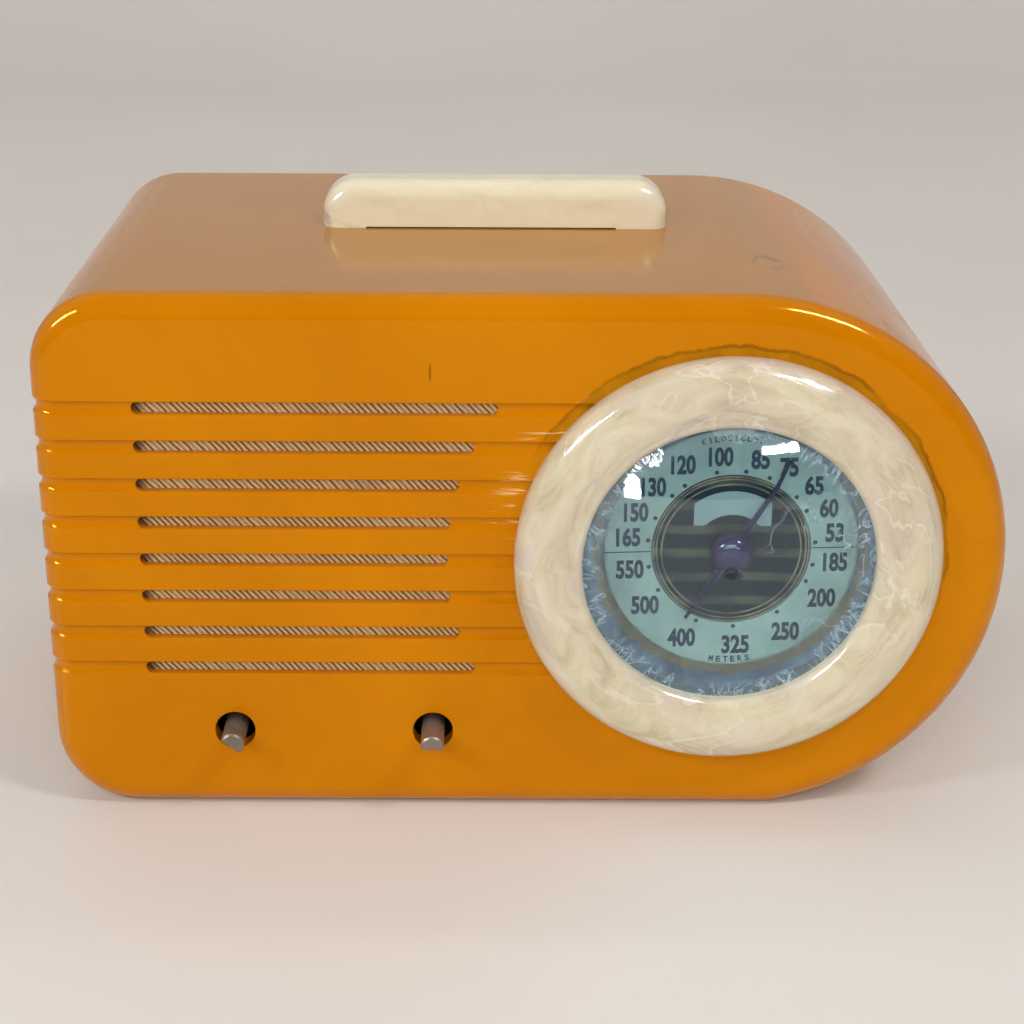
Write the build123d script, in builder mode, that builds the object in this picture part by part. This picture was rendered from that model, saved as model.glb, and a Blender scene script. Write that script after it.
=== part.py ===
"""Table radio with a one-piece cast resin cabinet, round dial and two bare control shafts.

Frame: millimetres, +X to the right, +Y to the back, +Z up. The origin is on the surface the
radio stands on, at the middle of its overall width and depth.
"""

from build123d import *
import os
from math import acos, asin, atan2, cos, degrees, hypot, radians, sin, sqrt

os.makedirs("parts", exist_ok=True)

# ------------------------------------------------------------------ driving dimensions
width, height, depth = 260.0, 148.0, 150.0  # the cabinet alone
shaft_reach = 10.0  # how far the bare shafts stand out of the front
wall, front_wall = 5.0, 5.0
front_round, back_round = 6.5, 1.2
corner_low, corner_high = 22.4, 21.0  # left corners of the outline
nose_radius, foot_round = 74.7, 14.0  # the round right end, and where it meets the base

base_z = 0.0
top_z = base_z + height
front_y = -(depth - shaft_reach) / 2
back_y = front_y + depth
left_x, right_x = -width / 2, width / 2
nose_x, nose_z = right_x - nose_radius, top_z - nose_radius
inner_front_y = front_y + front_wall

# grille
slot_count, slot_pitch, slot_height = 8, 10.67, 3.4
slot_left_x, slot_top_z = -103.4, base_z + 117.9
slot_arc_radius = 75.0  # the slots' right ends lie on a circle round the bezel
slot_cut = 3.1
groove_radius, groove_depth, groove_runout = 2.6, 0.9, 24.0
skin = 2.6  # wall left in front of the grille cloth
cloth_thick = 0.6
pocket_left_x, pocket_right_x, pocket_margin = -108.0, -2.5, 6.0

# dial
bezel_x, bezel_z = 54.2, base_z + 75.5
bezel_radius, bezel_high, bezel_opening = 57.4, 8.6, 39.2
lens_radius, lens_seat_high, lens_thick, lens_rise = 41.3, 2.2, 0.8, 6.2
dial_x, dial_z = 56.4, base_z + 74.4  # the tuning axis
dial_hole_radius = 40.2
scale_y, scale_thick = front_y + 11.0, 0.8
scale_inner, scale_outer = 21.8, 34.6
pointer_rest = 31.0  # degrees clockwise from straight up, seen from the front

# controls
shaft_radius, running_gap = 3.175, 0.05  # quarter-inch shafts
control_z = base_z + 24.2
volume_x, tuning_x = -79.7, -25.0
shaft_hole_radius = 5.6
flat_offset, flat_length = 0.7, 13.0  # the D flat lies this far past the shaft's axis
volume_flat_turn = 36.0  # the volume shaft's flat, clockwise from straight down

# speaker
speaker_x, speaker_z = -57.0, base_z + 80.5
speaker_radius, baffle_thick = 44.0, 2.5
baffle_opening = 38.5

# chassis
chassis_left, chassis_right = -112.0, 74.0
chassis_front, chassis_back = -46.0, 62.0
chassis_low, chassis_top, sheet = 8.0, 44.0, 1.2
lip = 14.0
bolt_spots = [(-95.0, -38.0), (-95.0, 54.0), (58.0, -38.0), (58.0, 54.0)]

# back
cover_thick, rebate_inset = 2.5, 3.0
cover_y = back_y - 4.5
boss_radius, boss_depth = 6.0, 11.5
cord_hole = (-62.0, 22.0)
cord_bore_radius = 3.5

# handle
handle_left, handle_right = -58.0, 41.6
handle_front, handle_deep, handle_high = 4.8, 17.6, 13.4
handle_end_round, handle_edge_round = 9.5, 5.0
arch_left, arch_right, arch_high = -45.5, 26.8, 6.9
handle_wall = 5.5
handle_screw_xs = (-51.5, 34.5)


def facing(y):
    """The plane at depth y that faces the front, with local x to the right and local y up."""
    return Plane.XZ.offset(-y)


def disc(x, z, radius, y, length, mode=Mode.ADD):
    """A cylinder along Y that starts at depth y and runs backwards."""
    with BuildSketch(facing(y)) as face:
        with Locations((x, z)):
            Circle(radius)
    extrude(face.sketch, amount=length, dir=(0, 1, 0), mode=mode)


def post(x, y, radius, z, length, mode=Mode.ADD):
    """An upright cylinder that starts at height z."""
    with BuildSketch(Plane.XY.offset(z)) as face:
        with Locations((x, y)):
            Circle(radius)
    extrude(face.sketch, amount=length, dir=(0, 0, 1), mode=mode)


def block(x_range, y_range, z_range, mode=Mode.ADD, corner=0.0):
    """A box between two corners, with its upright edges rounded if asked."""
    x0, x1 = x_range
    y0, y1 = y_range
    z0, z1 = z_range
    with BuildSketch(Plane.XY.offset(z0)) as face:
        with Locations(((x0 + x1) / 2, (y0 + y1) / 2)):
            if corner:
                RectangleRounded(x1 - x0, y1 - y0, corner)
            else:
                Rectangle(x1 - x0, y1 - y0)
    extrude(face.sketch, amount=z1 - z0, dir=(0, 0, 1), mode=mode)


def along_y(x, z):
    """The line along Y through a point of the front."""
    return Axis((x, 0, z), (0, 1, 0))


def cabinet_outline(inset):
    """The cabinet's outline, drawn a constant distance inside the outer surface."""
    low, high, left = base_z + inset, top_z - inset, left_x + inset
    round_low, round_high = corner_low - inset, corner_high - inset
    radius = nose_radius - inset
    foot_x = nose_x + sqrt(radius**2 - (nose_z - low) ** 2)
    with BuildLine() as line:
        Line((foot_x, low), (left + round_low, low))
        CenterArc((left + round_low, low + round_low), round_low, 270, -90)
        Line((left, low + round_low), (left, high - round_high))
        CenterArc((left + round_high, high - round_high), round_high, 180, -90)
        Line((left + round_high, high), (nose_x, high))
        ThreePointArc((nose_x, high), (nose_x + radius, nose_z), (foot_x, low))
    return line.line


def outline_face(y, inset):
    """The outline as a face on the plane at depth y, its lower right corner eased."""
    with BuildSketch() as face:
        with BuildLine():
            add(cabinet_outline(inset))
        make_face()
        foot = face.vertices().group_by(Axis.Y)[0].sort_by(Axis.X)[-1]
        fillet(foot, foot_round)
    return facing(y) * face.sketch


def slot_spans():
    """Each slot's height above the table, and where its left and right ends are."""
    for index in range(slot_count):
        z = slot_top_z - index * slot_pitch
        right = bezel_x - sqrt(slot_arc_radius**2 - (z - bezel_z) ** 2)
        yield z, slot_left_x, right


def save(part, name):
    """Labels a finished sub-part and writes its STEP file."""
    part.label = name
    export_step(part, f"parts/{name}.step")


boss_spots = [
    (left_x + corner_low - 8.8, base_z + corner_low - 8.8),
    (left_x + corner_high - 8.5, top_z - corner_high + 8.5),
    (nose_x + (nose_radius - 10) * cos(radians(55)), nose_z + (nose_radius - 10) * sin(radians(55))),
    (nose_x + (nose_radius - 10) * cos(radians(55)), nose_z - (nose_radius - 10) * sin(radians(55))),
]
handle_mid_y = handle_front + handle_deep / 2
screw_radius, bolt_radius, bolt_head_radius = 1.6, 2.0, 4.0
bolt_head_high, bolt_recess = 2.2, 2.6
pocket_low_z = slot_top_z - (slot_count - 1) * slot_pitch - pocket_margin
pocket_high_z = slot_top_z + pocket_margin
pocket_middle = ((pocket_left_x + pocket_right_x) / 2, (pocket_low_z + pocket_high_z) / 2)
pocket_size = (pocket_right_x - pocket_left_x, pocket_high_z - pocket_low_z)


# ------------------------------------------------------------------ cabinet
def make_cabinet():
    """One casting: front, sides, top and bottom, open at the back."""
    with BuildPart() as cabinet:
        extrude(outline_face(front_y, 0), amount=depth, dir=(0, 1, 0))
        fillet(cabinet.faces().sort_by(Axis.Y)[0].edges(), front_round)
        fillet(cabinet.faces().sort_by(Axis.Y)[-1].edges(), back_round)
        hollow = outline_face(inner_front_y, wall)
        extrude(hollow, amount=depth - front_wall, dir=(0, 1, 0), mode=Mode.SUBTRACT)
        rebate = outline_face(cover_y, rebate_inset)
        extrude(rebate, amount=back_y - cover_y, dir=(0, 1, 0), mode=Mode.SUBTRACT)
        for x, z in boss_spots:
            disc(x, z, boss_radius, cover_y - boss_depth, boss_depth)
            disc(x, z, screw_radius, cover_y - boss_depth + 2, boss_depth, Mode.SUBTRACT)
        cut_grille()
        disc(bezel_x, bezel_z, dial_hole_radius, front_y, front_wall, Mode.SUBTRACT)
        for x in (volume_x, tuning_x):
            disc(x, control_z, shaft_hole_radius, front_y, front_wall, Mode.SUBTRACT)
        for x in handle_screw_xs:
            post(x, handle_mid_y, screw_radius, top_z - wall, wall, Mode.SUBTRACT)
        for x, y in bolt_spots:
            post(x, y, bolt_radius, base_z, wall, Mode.SUBTRACT)
            post(x, y, bolt_head_radius + 0.4, base_z, bolt_recess, Mode.SUBTRACT)
    return cabinet.part


def cut_grille():
    """Inside the cabinet's block: the cloth pocket, the slots, and the grooves they lie in."""
    slots = list(slot_spans())
    with BuildSketch(facing(front_y + skin)) as pocket:
        with Locations(pocket_middle):
            Rectangle(*pocket_size)
    extrude(pocket.sketch, amount=front_wall - skin, dir=(0, 1, 0), mode=Mode.SUBTRACT)
    with BuildSketch(facing(front_y)) as openings:
        for z, left, right in slots:
            with Locations(((left + right) / 2, z)):
                SlotOverall(right - left, slot_height)
    extrude(openings.sketch, amount=slot_cut, dir=(0, 1, 0), mode=Mode.SUBTRACT)
    stand_off = groove_radius - groove_depth
    turn = 90 - degrees(asin(groove_depth / groove_runout))
    for z, _, _ in slots:
        hidden = bezel_x - sqrt((bezel_radius - 5) ** 2 - (z - bezel_z) ** 2)
        start = (hidden, front_y - stand_off)
        with BuildLine(Plane.XY.offset(z)) as path:
            run = Line(start, (left_x + front_round, start[1]))
            bend = JernArc(run @ 1, run % 1, front_round + stand_off, -turn)
            Line(bend @ 1, bend @ 1 + (bend % 1) * groove_runout)
        with BuildSketch(Plane(origin=path.line @ 0, z_dir=path.line % 0)) as section:
            Circle(groove_radius)
        sweep(section.sketch, path=path.line, mode=Mode.SUBTRACT)


save(make_cabinet(), "cabinet")


# ------------------------------------------------------------------ dial trim
def ring_about_dial(profile, x, z):
    """Revolves a half section of (radius, distance behind the cabinet's face) lines and arcs."""
    plane = Plane(origin=(x, front_y, z), x_dir=(1, 0, 0), z_dir=(0, 0, 1))
    with BuildPart() as ring:
        with BuildSketch(plane) as section:
            with BuildLine():
                profile()
            make_face()
        revolve(section.sketch, axis=along_y(x, z))
    return ring.part


def bezel_profile():
    """Half section of the bezel: a broad rounded crown that dips to a thin lip at the glass."""
    crown, lip = bezel_radius - 8.0, bezel_opening + 2.4
    shoulder = bezel_radius - 2.3
    add(ThreePointArc((bezel_radius, -1.5), (shoulder, -bezel_high * 0.76), (crown, -bezel_high)))
    add(ThreePointArc((crown, -bezel_high), (45.4, -8.1), (lip, -6.6)))
    add(ThreePointArc((lip, -6.6), (39.9, -5.7), (bezel_opening, -4.4)))
    seat = (lens_radius + 0.2, -lens_seat_high)
    below = [(bezel_opening, -4.4), (bezel_opening, seat[1]), seat, (seat[0], 0), (bezel_radius, 0)]
    add(Polyline(*below, (bezel_radius, -1.5)))


def lens_profile():
    """Half section of the domed lens with its flat flange."""
    edge, outer = bezel_opening - 0.4, lens_seat_high - 0.05
    inner = outer - lens_thick
    dome = (edge**2 + lens_rise**2) / (2 * lens_rise)
    half = edge / 2
    half_rise = lens_rise - dome + sqrt(dome**2 - half**2)
    add(Line((0, -outer - lens_rise), (0, -inner - lens_rise)))
    add(ThreePointArc((0, -inner - lens_rise), (half, -inner - half_rise), (edge, -inner)))
    add(Polyline((edge, -inner), (lens_radius, -inner), (lens_radius, -outer), (edge, -outer)))
    add(ThreePointArc((edge, -outer), (half, -outer - half_rise), (0, -outer - lens_rise)))


save(ring_about_dial(bezel_profile, bezel_x, bezel_z), "dial_bezel")
save(ring_about_dial(lens_profile, bezel_x, bezel_z), "dial_lens")


# ------------------------------------------------------------------ handle
def make_handle():
    """A low bar with rounded ends, hollowed from behind as a finger grip."""
    length = handle_right - handle_left
    mid_x = (handle_left + handle_right) / 2
    arch_mid, arch_wide = (arch_left + arch_right) / 2, arch_right - arch_left
    shoulder = arch_wide * 0.3
    with BuildPart() as handle:
        with BuildSketch(facing(handle_front)) as side:
            with Locations((mid_x, top_z + handle_high / 2)):
                Rectangle(length, handle_high)
            fillet(side.vertices().group_by(Axis.Y)[-1], handle_end_round)
        extrude(side.sketch, amount=handle_deep, dir=(0, 1, 0))
        for index, radius in ((0, handle_edge_round), (-1, handle_edge_round + 1)):
            rim = handle.faces().sort_by(Axis.Y)[index].edges()
            fillet(rim.filter_by(lambda edge: edge.center().Z > top_z + 0.1), radius)
        with BuildSketch(facing(handle_front + handle_wall)) as arch:
            with BuildLine():
                Line((arch_left, top_z), (arch_right, top_z))
                Spline(
                    (arch_right, top_z),
                    (arch_mid + shoulder, top_z + arch_high * 0.93),
                    (arch_mid, top_z + arch_high),
                    (arch_mid - shoulder, top_z + arch_high * 0.93),
                    (arch_left, top_z),
                )
            make_face()
        extrude(arch.sketch, amount=handle_deep, dir=(0, 1, 0), mode=Mode.SUBTRACT)
        block(
            (arch_left, arch_right),
            (handle_front, handle_front + handle_wall),
            (top_z, top_z + 0.4),
            Mode.SUBTRACT,
        )
        for x in handle_screw_xs:
            post(x, handle_mid_y, screw_radius, top_z, 8, Mode.SUBTRACT)
    return handle.part


def make_handle_screws():
    """Two screws that come up through the cabinet's top into the handle's feet."""
    with BuildPart() as screws:
        under, head = top_z - wall, 2.4
        for x in handle_screw_xs:
            post(x, handle_mid_y, 3.4, under - head, head)
            post(x, handle_mid_y, screw_radius, under, wall + 7.5)
            slot_x, slot_y = (x - 3.5, x + 3.5), (handle_mid_y - 0.4, handle_mid_y + 0.4)
            block(slot_x, slot_y, (under - head, under - head + 1), Mode.SUBTRACT)
    return screws.part


save(make_handle(), "handle")
save(make_handle_screws(), "handle_screws")


# ------------------------------------------------------------------ back
def make_back_cover():
    """A pressed-board back with rows of vent slots, set into the cabinet's rebate."""
    with BuildPart() as cover:
        outline = outline_face(cover_y, rebate_inset + 0.35)
        extrude(outline, amount=cover_thick, dir=(0, 1, 0))
        vents = BuildSketch(facing(cover_y))
        with vents:
            with Locations((-20, base_z + 122)):
                with GridLocations(15, 9, 10, 2):
                    SlotOverall(10, 3.6)
            with Locations((-20, base_z + 33)):
                with GridLocations(15, 9, 5, 2):
                    SlotOverall(10, 3.6)
            with Locations((-20, base_z + 78)):
                with GridLocations(12, 10, 7, 4):
                    Circle(2.2)
        extrude(vents.sketch, amount=cover_thick, dir=(0, 1, 0), mode=Mode.SUBTRACT)
        disc(cord_hole[0], cord_hole[1], grommet_neck, cover_y, cover_thick, Mode.SUBTRACT)
        for x, z in boss_spots:
            disc(x, z, screw_radius, cover_y, cover_thick, Mode.SUBTRACT)
    return cover.part


def make_back_cover_screws():
    """Four slotted pan-head screws through the back into the cabinet's bosses."""
    with BuildPart() as screws:
        head_y = cover_y + cover_thick
        for x, z in boss_spots:
            disc(x, z, screw_radius, cover_y - 6, 6 + cover_thick)
            disc(x, z, 3.4, head_y, 1.7)
            block((x - 3.5, x + 3.5), (head_y + 0.8, head_y + 1.7), (z - 0.4, z + 0.4), Mode.SUBTRACT)
    return screws.part


def make_cord_grommet():
    """The rubber grommet that the mains cord would leave through."""
    x, z = cord_hole
    y = cover_y - 2
    end, length = grommet_flange - 0.8, cover_thick + 4
    half = [
        (cord_bore_radius, y),
        (end, y),
        (grommet_flange, y + 0.8),
        (grommet_flange, cover_y),
        (grommet_neck, cover_y),
        (grommet_neck, cover_y + cover_thick),
        (grommet_flange, cover_y + cover_thick),
        (grommet_flange, y + length - 0.8),
        (end, y + length),
        (cord_bore_radius, y + length),
    ]
    with BuildPart() as grommet:
        with BuildSketch(Plane(origin=(x, 0, z), x_dir=(1, 0, 0), z_dir=(0, 0, 1))) as section:
            with BuildLine():
                Polyline(*half, close=True)
            make_face()
        revolve(section.sketch, axis=along_y(x, z))
    return grommet.part


def make_loop_antenna():
    """The flat loop aerial: a rounded rectangular former on the inside of the back."""
    with BuildPart() as loop:
        with BuildSketch(facing(cover_y - loop_thick)) as frame:
            with Locations(loop_middle):
                RectangleRounded(loop_size[0], loop_size[1], 16)
                inner = (loop_size[0] - 2 * loop_band, loop_size[1] - 2 * loop_band)
                RectangleRounded(*inner, 8, mode=Mode.SUBTRACT)
        extrude(frame.sketch, amount=loop_thick, dir=(0, 1, 0))
    return loop.part


grommet_neck, grommet_flange = 5.5, 7.5
loop_middle, loop_size, loop_band, loop_thick = (-20.0, base_z + 78.0), (174.0, 76.0), 11.0, 1.8
save(make_back_cover(), "back_cover")
save(make_back_cover_screws(), "back_cover_screws")
save(make_cord_grommet(), "cord_grommet")
save(make_loop_antenna(), "loop_antenna")


# ------------------------------------------------------------------ chassis
floor_z = base_z + wall
lip_left, lip_right = -103.0, 66.0
tube_spots = [(x, y) for y in (8.0, 44.0) for x in (-92.0, -54.0, -16.0)]
can_spots = [(20.0, 12.0), (20.0, 44.0)]
filter_spot = (55.0, 14.0)
socket_hole, socket_radius = 14.0, 17.5


def make_chassis():
    """A folded steel pan, open below, with lips that lie on the cabinet's floor."""
    across = (chassis_left, chassis_right)
    front_in, back_in = chassis_front + sheet, chassis_back - sheet
    with BuildPart() as chassis:
        block(across, (chassis_front, chassis_back), (chassis_top - sheet, chassis_top))
        for outer, inner, lip_end in (
            (chassis_front, front_in, chassis_front + lip),
            (chassis_back, back_in, chassis_back - lip),
        ):
            ends = sorted((outer, inner))
            block(across, ends, (chassis_low, chassis_top))
            block((lip_left, lip_right), ends, (floor_z, chassis_low))
            block((lip_left, lip_right), sorted((outer, lip_end)), (floor_z, floor_z + sheet))
        for x in (chassis_left, chassis_right - sheet):
            block((x, x + sheet), (chassis_front, chassis_back), (chassis_low, chassis_top))
        for x, y in tube_spots:
            post(x, y, socket_hole, chassis_top - sheet, sheet, Mode.SUBTRACT)
        for x, y in bolt_spots:
            post(x, y, bolt_radius, floor_z, sheet, Mode.SUBTRACT)
        for x in (volume_x, tuning_x):
            disc(x, control_z, bushing_radius, chassis_front, sheet, Mode.SUBTRACT)
        for x in bracket_screw_xs:
            disc(x, bracket_screw_z, screw_radius, chassis_front, sheet, Mode.SUBTRACT)
    return chassis.part


def make_chassis_bolts():
    """Four bolts up through the cabinet's floor, their heads sunk flush in its underside."""
    with BuildPart() as bolts:
        head_z = base_z + bolt_recess - bolt_head_high
        for x, y in bolt_spots:
            post(x, y, bolt_head_radius, head_z, bolt_head_high)
            post(x, y, bolt_radius, head_z, 13)
            block((x - 4, x + 4), (y - 0.5, y + 0.5), (head_z, head_z + 1.1), Mode.SUBTRACT)
    return bolts.part


def make_chassis_nuts():
    """The hexagon nuts that pull the chassis down on its bolts."""
    with BuildPart() as nuts:
        with BuildSketch(Plane.XY.offset(floor_z + sheet)) as face:
            with Locations(*bolt_spots):
                RegularPolygon(4.1, 6)
                Circle(bolt_radius, mode=Mode.SUBTRACT)
        extrude(face.sketch, amount=3, dir=(0, 0, 1))
    return nuts.part


bushing_radius = 4.76
bracket_screw_xs, bracket_screw_z = (42.0, 66.0), base_z + 22.0
save(make_chassis(), "chassis")
save(make_chassis_bolts(), "chassis_bolts")
save(make_chassis_nuts(), "chassis_nuts")


# ------------------------------------------------------------------ grille cloth and speaker
cloth_y = front_y + skin
baffle_y = cloth_y + cloth_thick
flange_y = baffle_y + baffle_thick
flange_thick = 1.0
basket_back_y, magnet_back_y = flange_y + 27.0, flange_y + 46.0
cone_edge, coil_radius = 33.0, 9.5
cone_front_y, cone_back_y = flange_y + 2.2, flange_y + 17.0
spider_y, ledge_radius = cone_back_y + 2.5, 20.0
speaker_axis = along_y(speaker_x, speaker_z)


def pocket_sheet(y, thick, margin, hole):
    """A flat sheet that fills the grille pocket, with a round opening if asked."""
    with BuildPart() as part:
        with BuildSketch(facing(y)) as face:
            with Locations(pocket_middle):
                Rectangle(pocket_size[0] - 2 * margin, pocket_size[1] - 2 * margin)
            if hole:
                with Locations((speaker_x, speaker_z)):
                    Circle(hole, mode=Mode.SUBTRACT)
        extrude(face.sketch, amount=thick, dir=(0, 1, 0))
        for x, z in speaker_screw_spots if hole else []:
            disc(x, z, screw_radius, y, thick, Mode.SUBTRACT)
    return part.part


def speaker_shell(half):
    """A body of revolution about the speaker's axis from (radius, depth) points."""
    plane = Plane(origin=(speaker_x, 0, speaker_z), x_dir=(1, 0, 0), z_dir=(0, 0, 1))
    with BuildPart() as shell:
        with BuildSketch(plane) as section:
            with BuildLine():
                Polyline(*half, close=True)
            make_face()
        revolve(section.sketch, axis=speaker_axis)
    return shell.part


def make_speaker_basket():
    """The pressed frame: mounting ring, four windows, a ledge for the spider and a back plate."""
    rim, neck = speaker_radius - 5.8, ledge_radius + 0.8
    rim_y, ledge_end = flange_y + 2.8, ledge_radius - 3.0
    half = [
        (rim, flange_y),
        (speaker_radius, flange_y),
        (speaker_radius, flange_y + flange_thick),
        (rim + 1, flange_y + flange_thick),
        (rim + 1, rim_y + 0.6),
        (neck + 1, spider_y + 1),
        (neck + 1, basket_back_y),
        (coil_radius + 1.6, basket_back_y),
        (coil_radius + 1.6, basket_back_y - 1),
        (neck, basket_back_y - 1),
        (neck, spider_y + 1),
        (ledge_end, spider_y + 1),
        (ledge_end, spider_y),
        (neck, spider_y),
        (rim, rim_y),
    ]
    with BuildPart() as basket:
        add(speaker_shell(half))
        with BuildSketch(facing(flange_y + 6.0)) as windows:
            with Locations((speaker_x, speaker_z)):
                with PolarLocations(0, 4, 45):
                    with Locations((30.0, 0)):
                        Rectangle(24, 22)
        extrude(windows.sketch, amount=8.5, dir=(0, 1, 0), mode=Mode.SUBTRACT)
        for x, z in speaker_screw_spots:
            disc(x, z, screw_radius, flange_y, flange_thick, Mode.SUBTRACT)
    return basket.part


def make_speaker_screws():
    """Four screws through the speaker's ring into the baffle."""
    with BuildPart() as screws:
        for x, z in speaker_screw_spots:
            disc(x, z, screw_radius, baffle_y + 0.3, flange_y - baffle_y - 0.3 + flange_thick)
            disc(x, z, 2.2, flange_y + flange_thick, 1.4)
    return screws.part


def make_speaker_magnet():
    """Magnet pot with its centre pole, leaving the ring gap that the voice coil moves in."""
    gap_in, gap_out, pot = coil_radius - 0.9, coil_radius + 1.6, 18.0
    half = [
        (0, basket_back_y - 3),
        (gap_in, basket_back_y - 3),
        (gap_in, magnet_back_y - 5),
        (gap_out, magnet_back_y - 5),
        (gap_out, basket_back_y),
        (pot, basket_back_y),
        (pot, magnet_back_y - 1.5),
        (pot - 1.5, magnet_back_y),
        (0, magnet_back_y),
    ]
    return speaker_shell(half)


def make_speaker_cone():
    """The paper cone."""
    paper = 0.5
    half = [
        (coil_radius, cone_back_y),
        (coil_radius, cone_back_y + paper),
        (cone_edge, cone_front_y + paper),
        (cone_edge, cone_front_y),
    ]
    return speaker_shell(half)


def make_speaker_coil():
    """The voice coil former with its winding."""
    half = [
        (coil_radius - 0.4, cone_back_y),
        (coil_radius, cone_back_y),
        (coil_radius, basket_back_y - 1.5),
        (coil_radius + 0.6, basket_back_y - 1.5),
        (coil_radius + 0.6, basket_back_y + 4.5),
        (coil_radius - 0.4, basket_back_y + 4.5),
    ]
    return speaker_shell(half)


def make_speaker_dust_cap():
    """The small felt cap over the voice coil."""
    inner, thick = coil_radius - 0.4, 0.4
    half = [
        (0, cone_back_y - 2.2),
        (inner * 0.5, cone_back_y - 1.8),
        (inner, cone_back_y),
        (inner, cone_back_y + thick),
        (inner * 0.5, cone_back_y - 1.8 + thick),
        (0, cone_back_y - 2.2 + thick),
    ]
    return speaker_shell(half)


def make_speaker_surround():
    """The corrugated edge between the cone and the basket's rim."""
    outer, thick = speaker_radius - 5.8, 0.4
    mid = (cone_edge + outer) / 2
    half = [
        (cone_edge, cone_front_y),
        (mid, cone_front_y - 0.9),
        (outer, cone_front_y),
        (outer, cone_front_y + thick),
        (mid, cone_front_y - 0.9 + thick),
        (cone_edge, cone_front_y + thick),
    ]
    return speaker_shell(half)


def make_speaker_spider():
    """The disc that keeps the voice coil centred."""
    thick, rim = 0.4, 19.0
    half = [(coil_radius, spider_y - thick), (rim, spider_y - thick), (rim, spider_y), (coil_radius, spider_y)]
    return speaker_shell(half)


speaker_screw_spots = [
    (speaker_x + 41.6 * cos(radians(turn)), speaker_z + 41.6 * sin(radians(turn)))
    for turn in (35, 145, 215, 325)
]
save(pocket_sheet(cloth_y, cloth_thick, 0.4, 0), "grille_cloth")
save(pocket_sheet(baffle_y, baffle_thick, 0.3, baffle_opening), "speaker_baffle")
save(make_speaker_basket(), "speaker_basket")
save(make_speaker_screws(), "speaker_screws")
save(make_speaker_magnet(), "speaker_magnet")
save(make_speaker_cone(), "speaker_cone")
save(make_speaker_coil(), "speaker_voice_coil")
save(make_speaker_dust_cap(), "speaker_dust_cap")
save(make_speaker_surround(), "speaker_surround")
save(make_speaker_spider(), "speaker_spider")


# ------------------------------------------------------------------ dial
plate_y = scale_y + scale_thick
plate_thick, plate_radius, plate_hole = 1.0, 46.0, 4.2
disc_radius, disc_thick = 21.5, 0.6
bracket_thick, bracket_span = 1.2, (36.0, 72.0)
lamp_z, lamp_radius, lamp_y = dial_z + 43.5, 4.8, -49.0
drum_cord_radius, drum_rim, drum_groove_y, drum_groove_wide = 30.2, 31.6, -51.6, 2.8
cord_radius, cord_gap = 0.35, 0.15
spool_radius = shaft_radius + cord_gap + cord_radius
dial_axis = along_y(dial_x, dial_z)


def ring_plate(outer, inner, y, thick):
    """A flat ring about the tuning axis."""
    with BuildPart() as part:
        disc(dial_x, dial_z, outer, y, thick)
        disc(dial_x, dial_z, inner, y, thick, Mode.SUBTRACT)
    return part.part


def make_dial_back_plate():
    """The plate behind the dial, notched at the top for the lamp."""
    with BuildPart() as plate:
        add(ring_plate(plate_radius, plate_hole, plate_y, plate_thick))
        disc(dial_x, lamp_z, lamp_radius + 1.5, plate_y, plate_thick, Mode.SUBTRACT)
    return plate.part


def make_dial_centre():
    """The engine-turned metal disc, with raised rings and a blank curved plaque above the middle."""
    with BuildPart() as centre:
        disc(dial_x, dial_z, disc_radius, plate_y - disc_thick, disc_thick)
        for ring in (disc_radius - 0.3, disc_radius - 2.2):
            with BuildSketch(facing(plate_y - disc_thick - 0.15)) as band:
                with Locations((dial_x, dial_z)):
                    Circle(ring)
                    Circle(ring - 0.6, mode=Mode.SUBTRACT)
            extrude(band.sketch, amount=0.15, dir=(0, 1, 0))
        with BuildSketch(facing(plate_y - disc_thick - 0.15)) as plaque:
            with Locations((dial_x, dial_z)):
                Circle(17.0)
                Circle(10.2, mode=Mode.SUBTRACT)
                with Locations(Pos(0, 15, 0)):
                    Rectangle(21.0, 16.0, mode=Mode.INTERSECT)
        extrude(plaque.sketch, amount=0.15, dir=(0, 1, 0))
        disc(dial_x, dial_z, plate_hole, plate_y - 2, 4, Mode.SUBTRACT)
    return centre.part


def make_dial_bracket():
    """A bent strip from the chassis front that holds the dial's back plate."""
    low, shelf, high = base_z + 14, base_z + 33, base_z + 58
    foot_y, head_y = chassis_front - bracket_thick, plate_y + plate_thick
    with BuildPart() as bracket:
        block(bracket_span, (foot_y, chassis_front), (low, shelf))
        block(bracket_span, (head_y, foot_y + bracket_thick), (shelf - bracket_thick, shelf))
        block(bracket_span, (head_y, head_y + bracket_thick), (shelf - bracket_thick, high))
        for x in bracket_screw_xs:
            disc(x, bracket_screw_z, screw_radius, foot_y, bracket_thick, Mode.SUBTRACT)
    return bracket.part


def make_dial_bracket_screws():
    """The two screws that hold the dial's bracket to the chassis."""
    with BuildPart() as screws:
        foot_y = chassis_front - bracket_thick
        for x in bracket_screw_xs:
            disc(x, bracket_screw_z, 3.0, foot_y - 1.8, 1.8)
            disc(x, bracket_screw_z, screw_radius, foot_y, bracket_thick + sheet + 2)
    return screws.part


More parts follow.
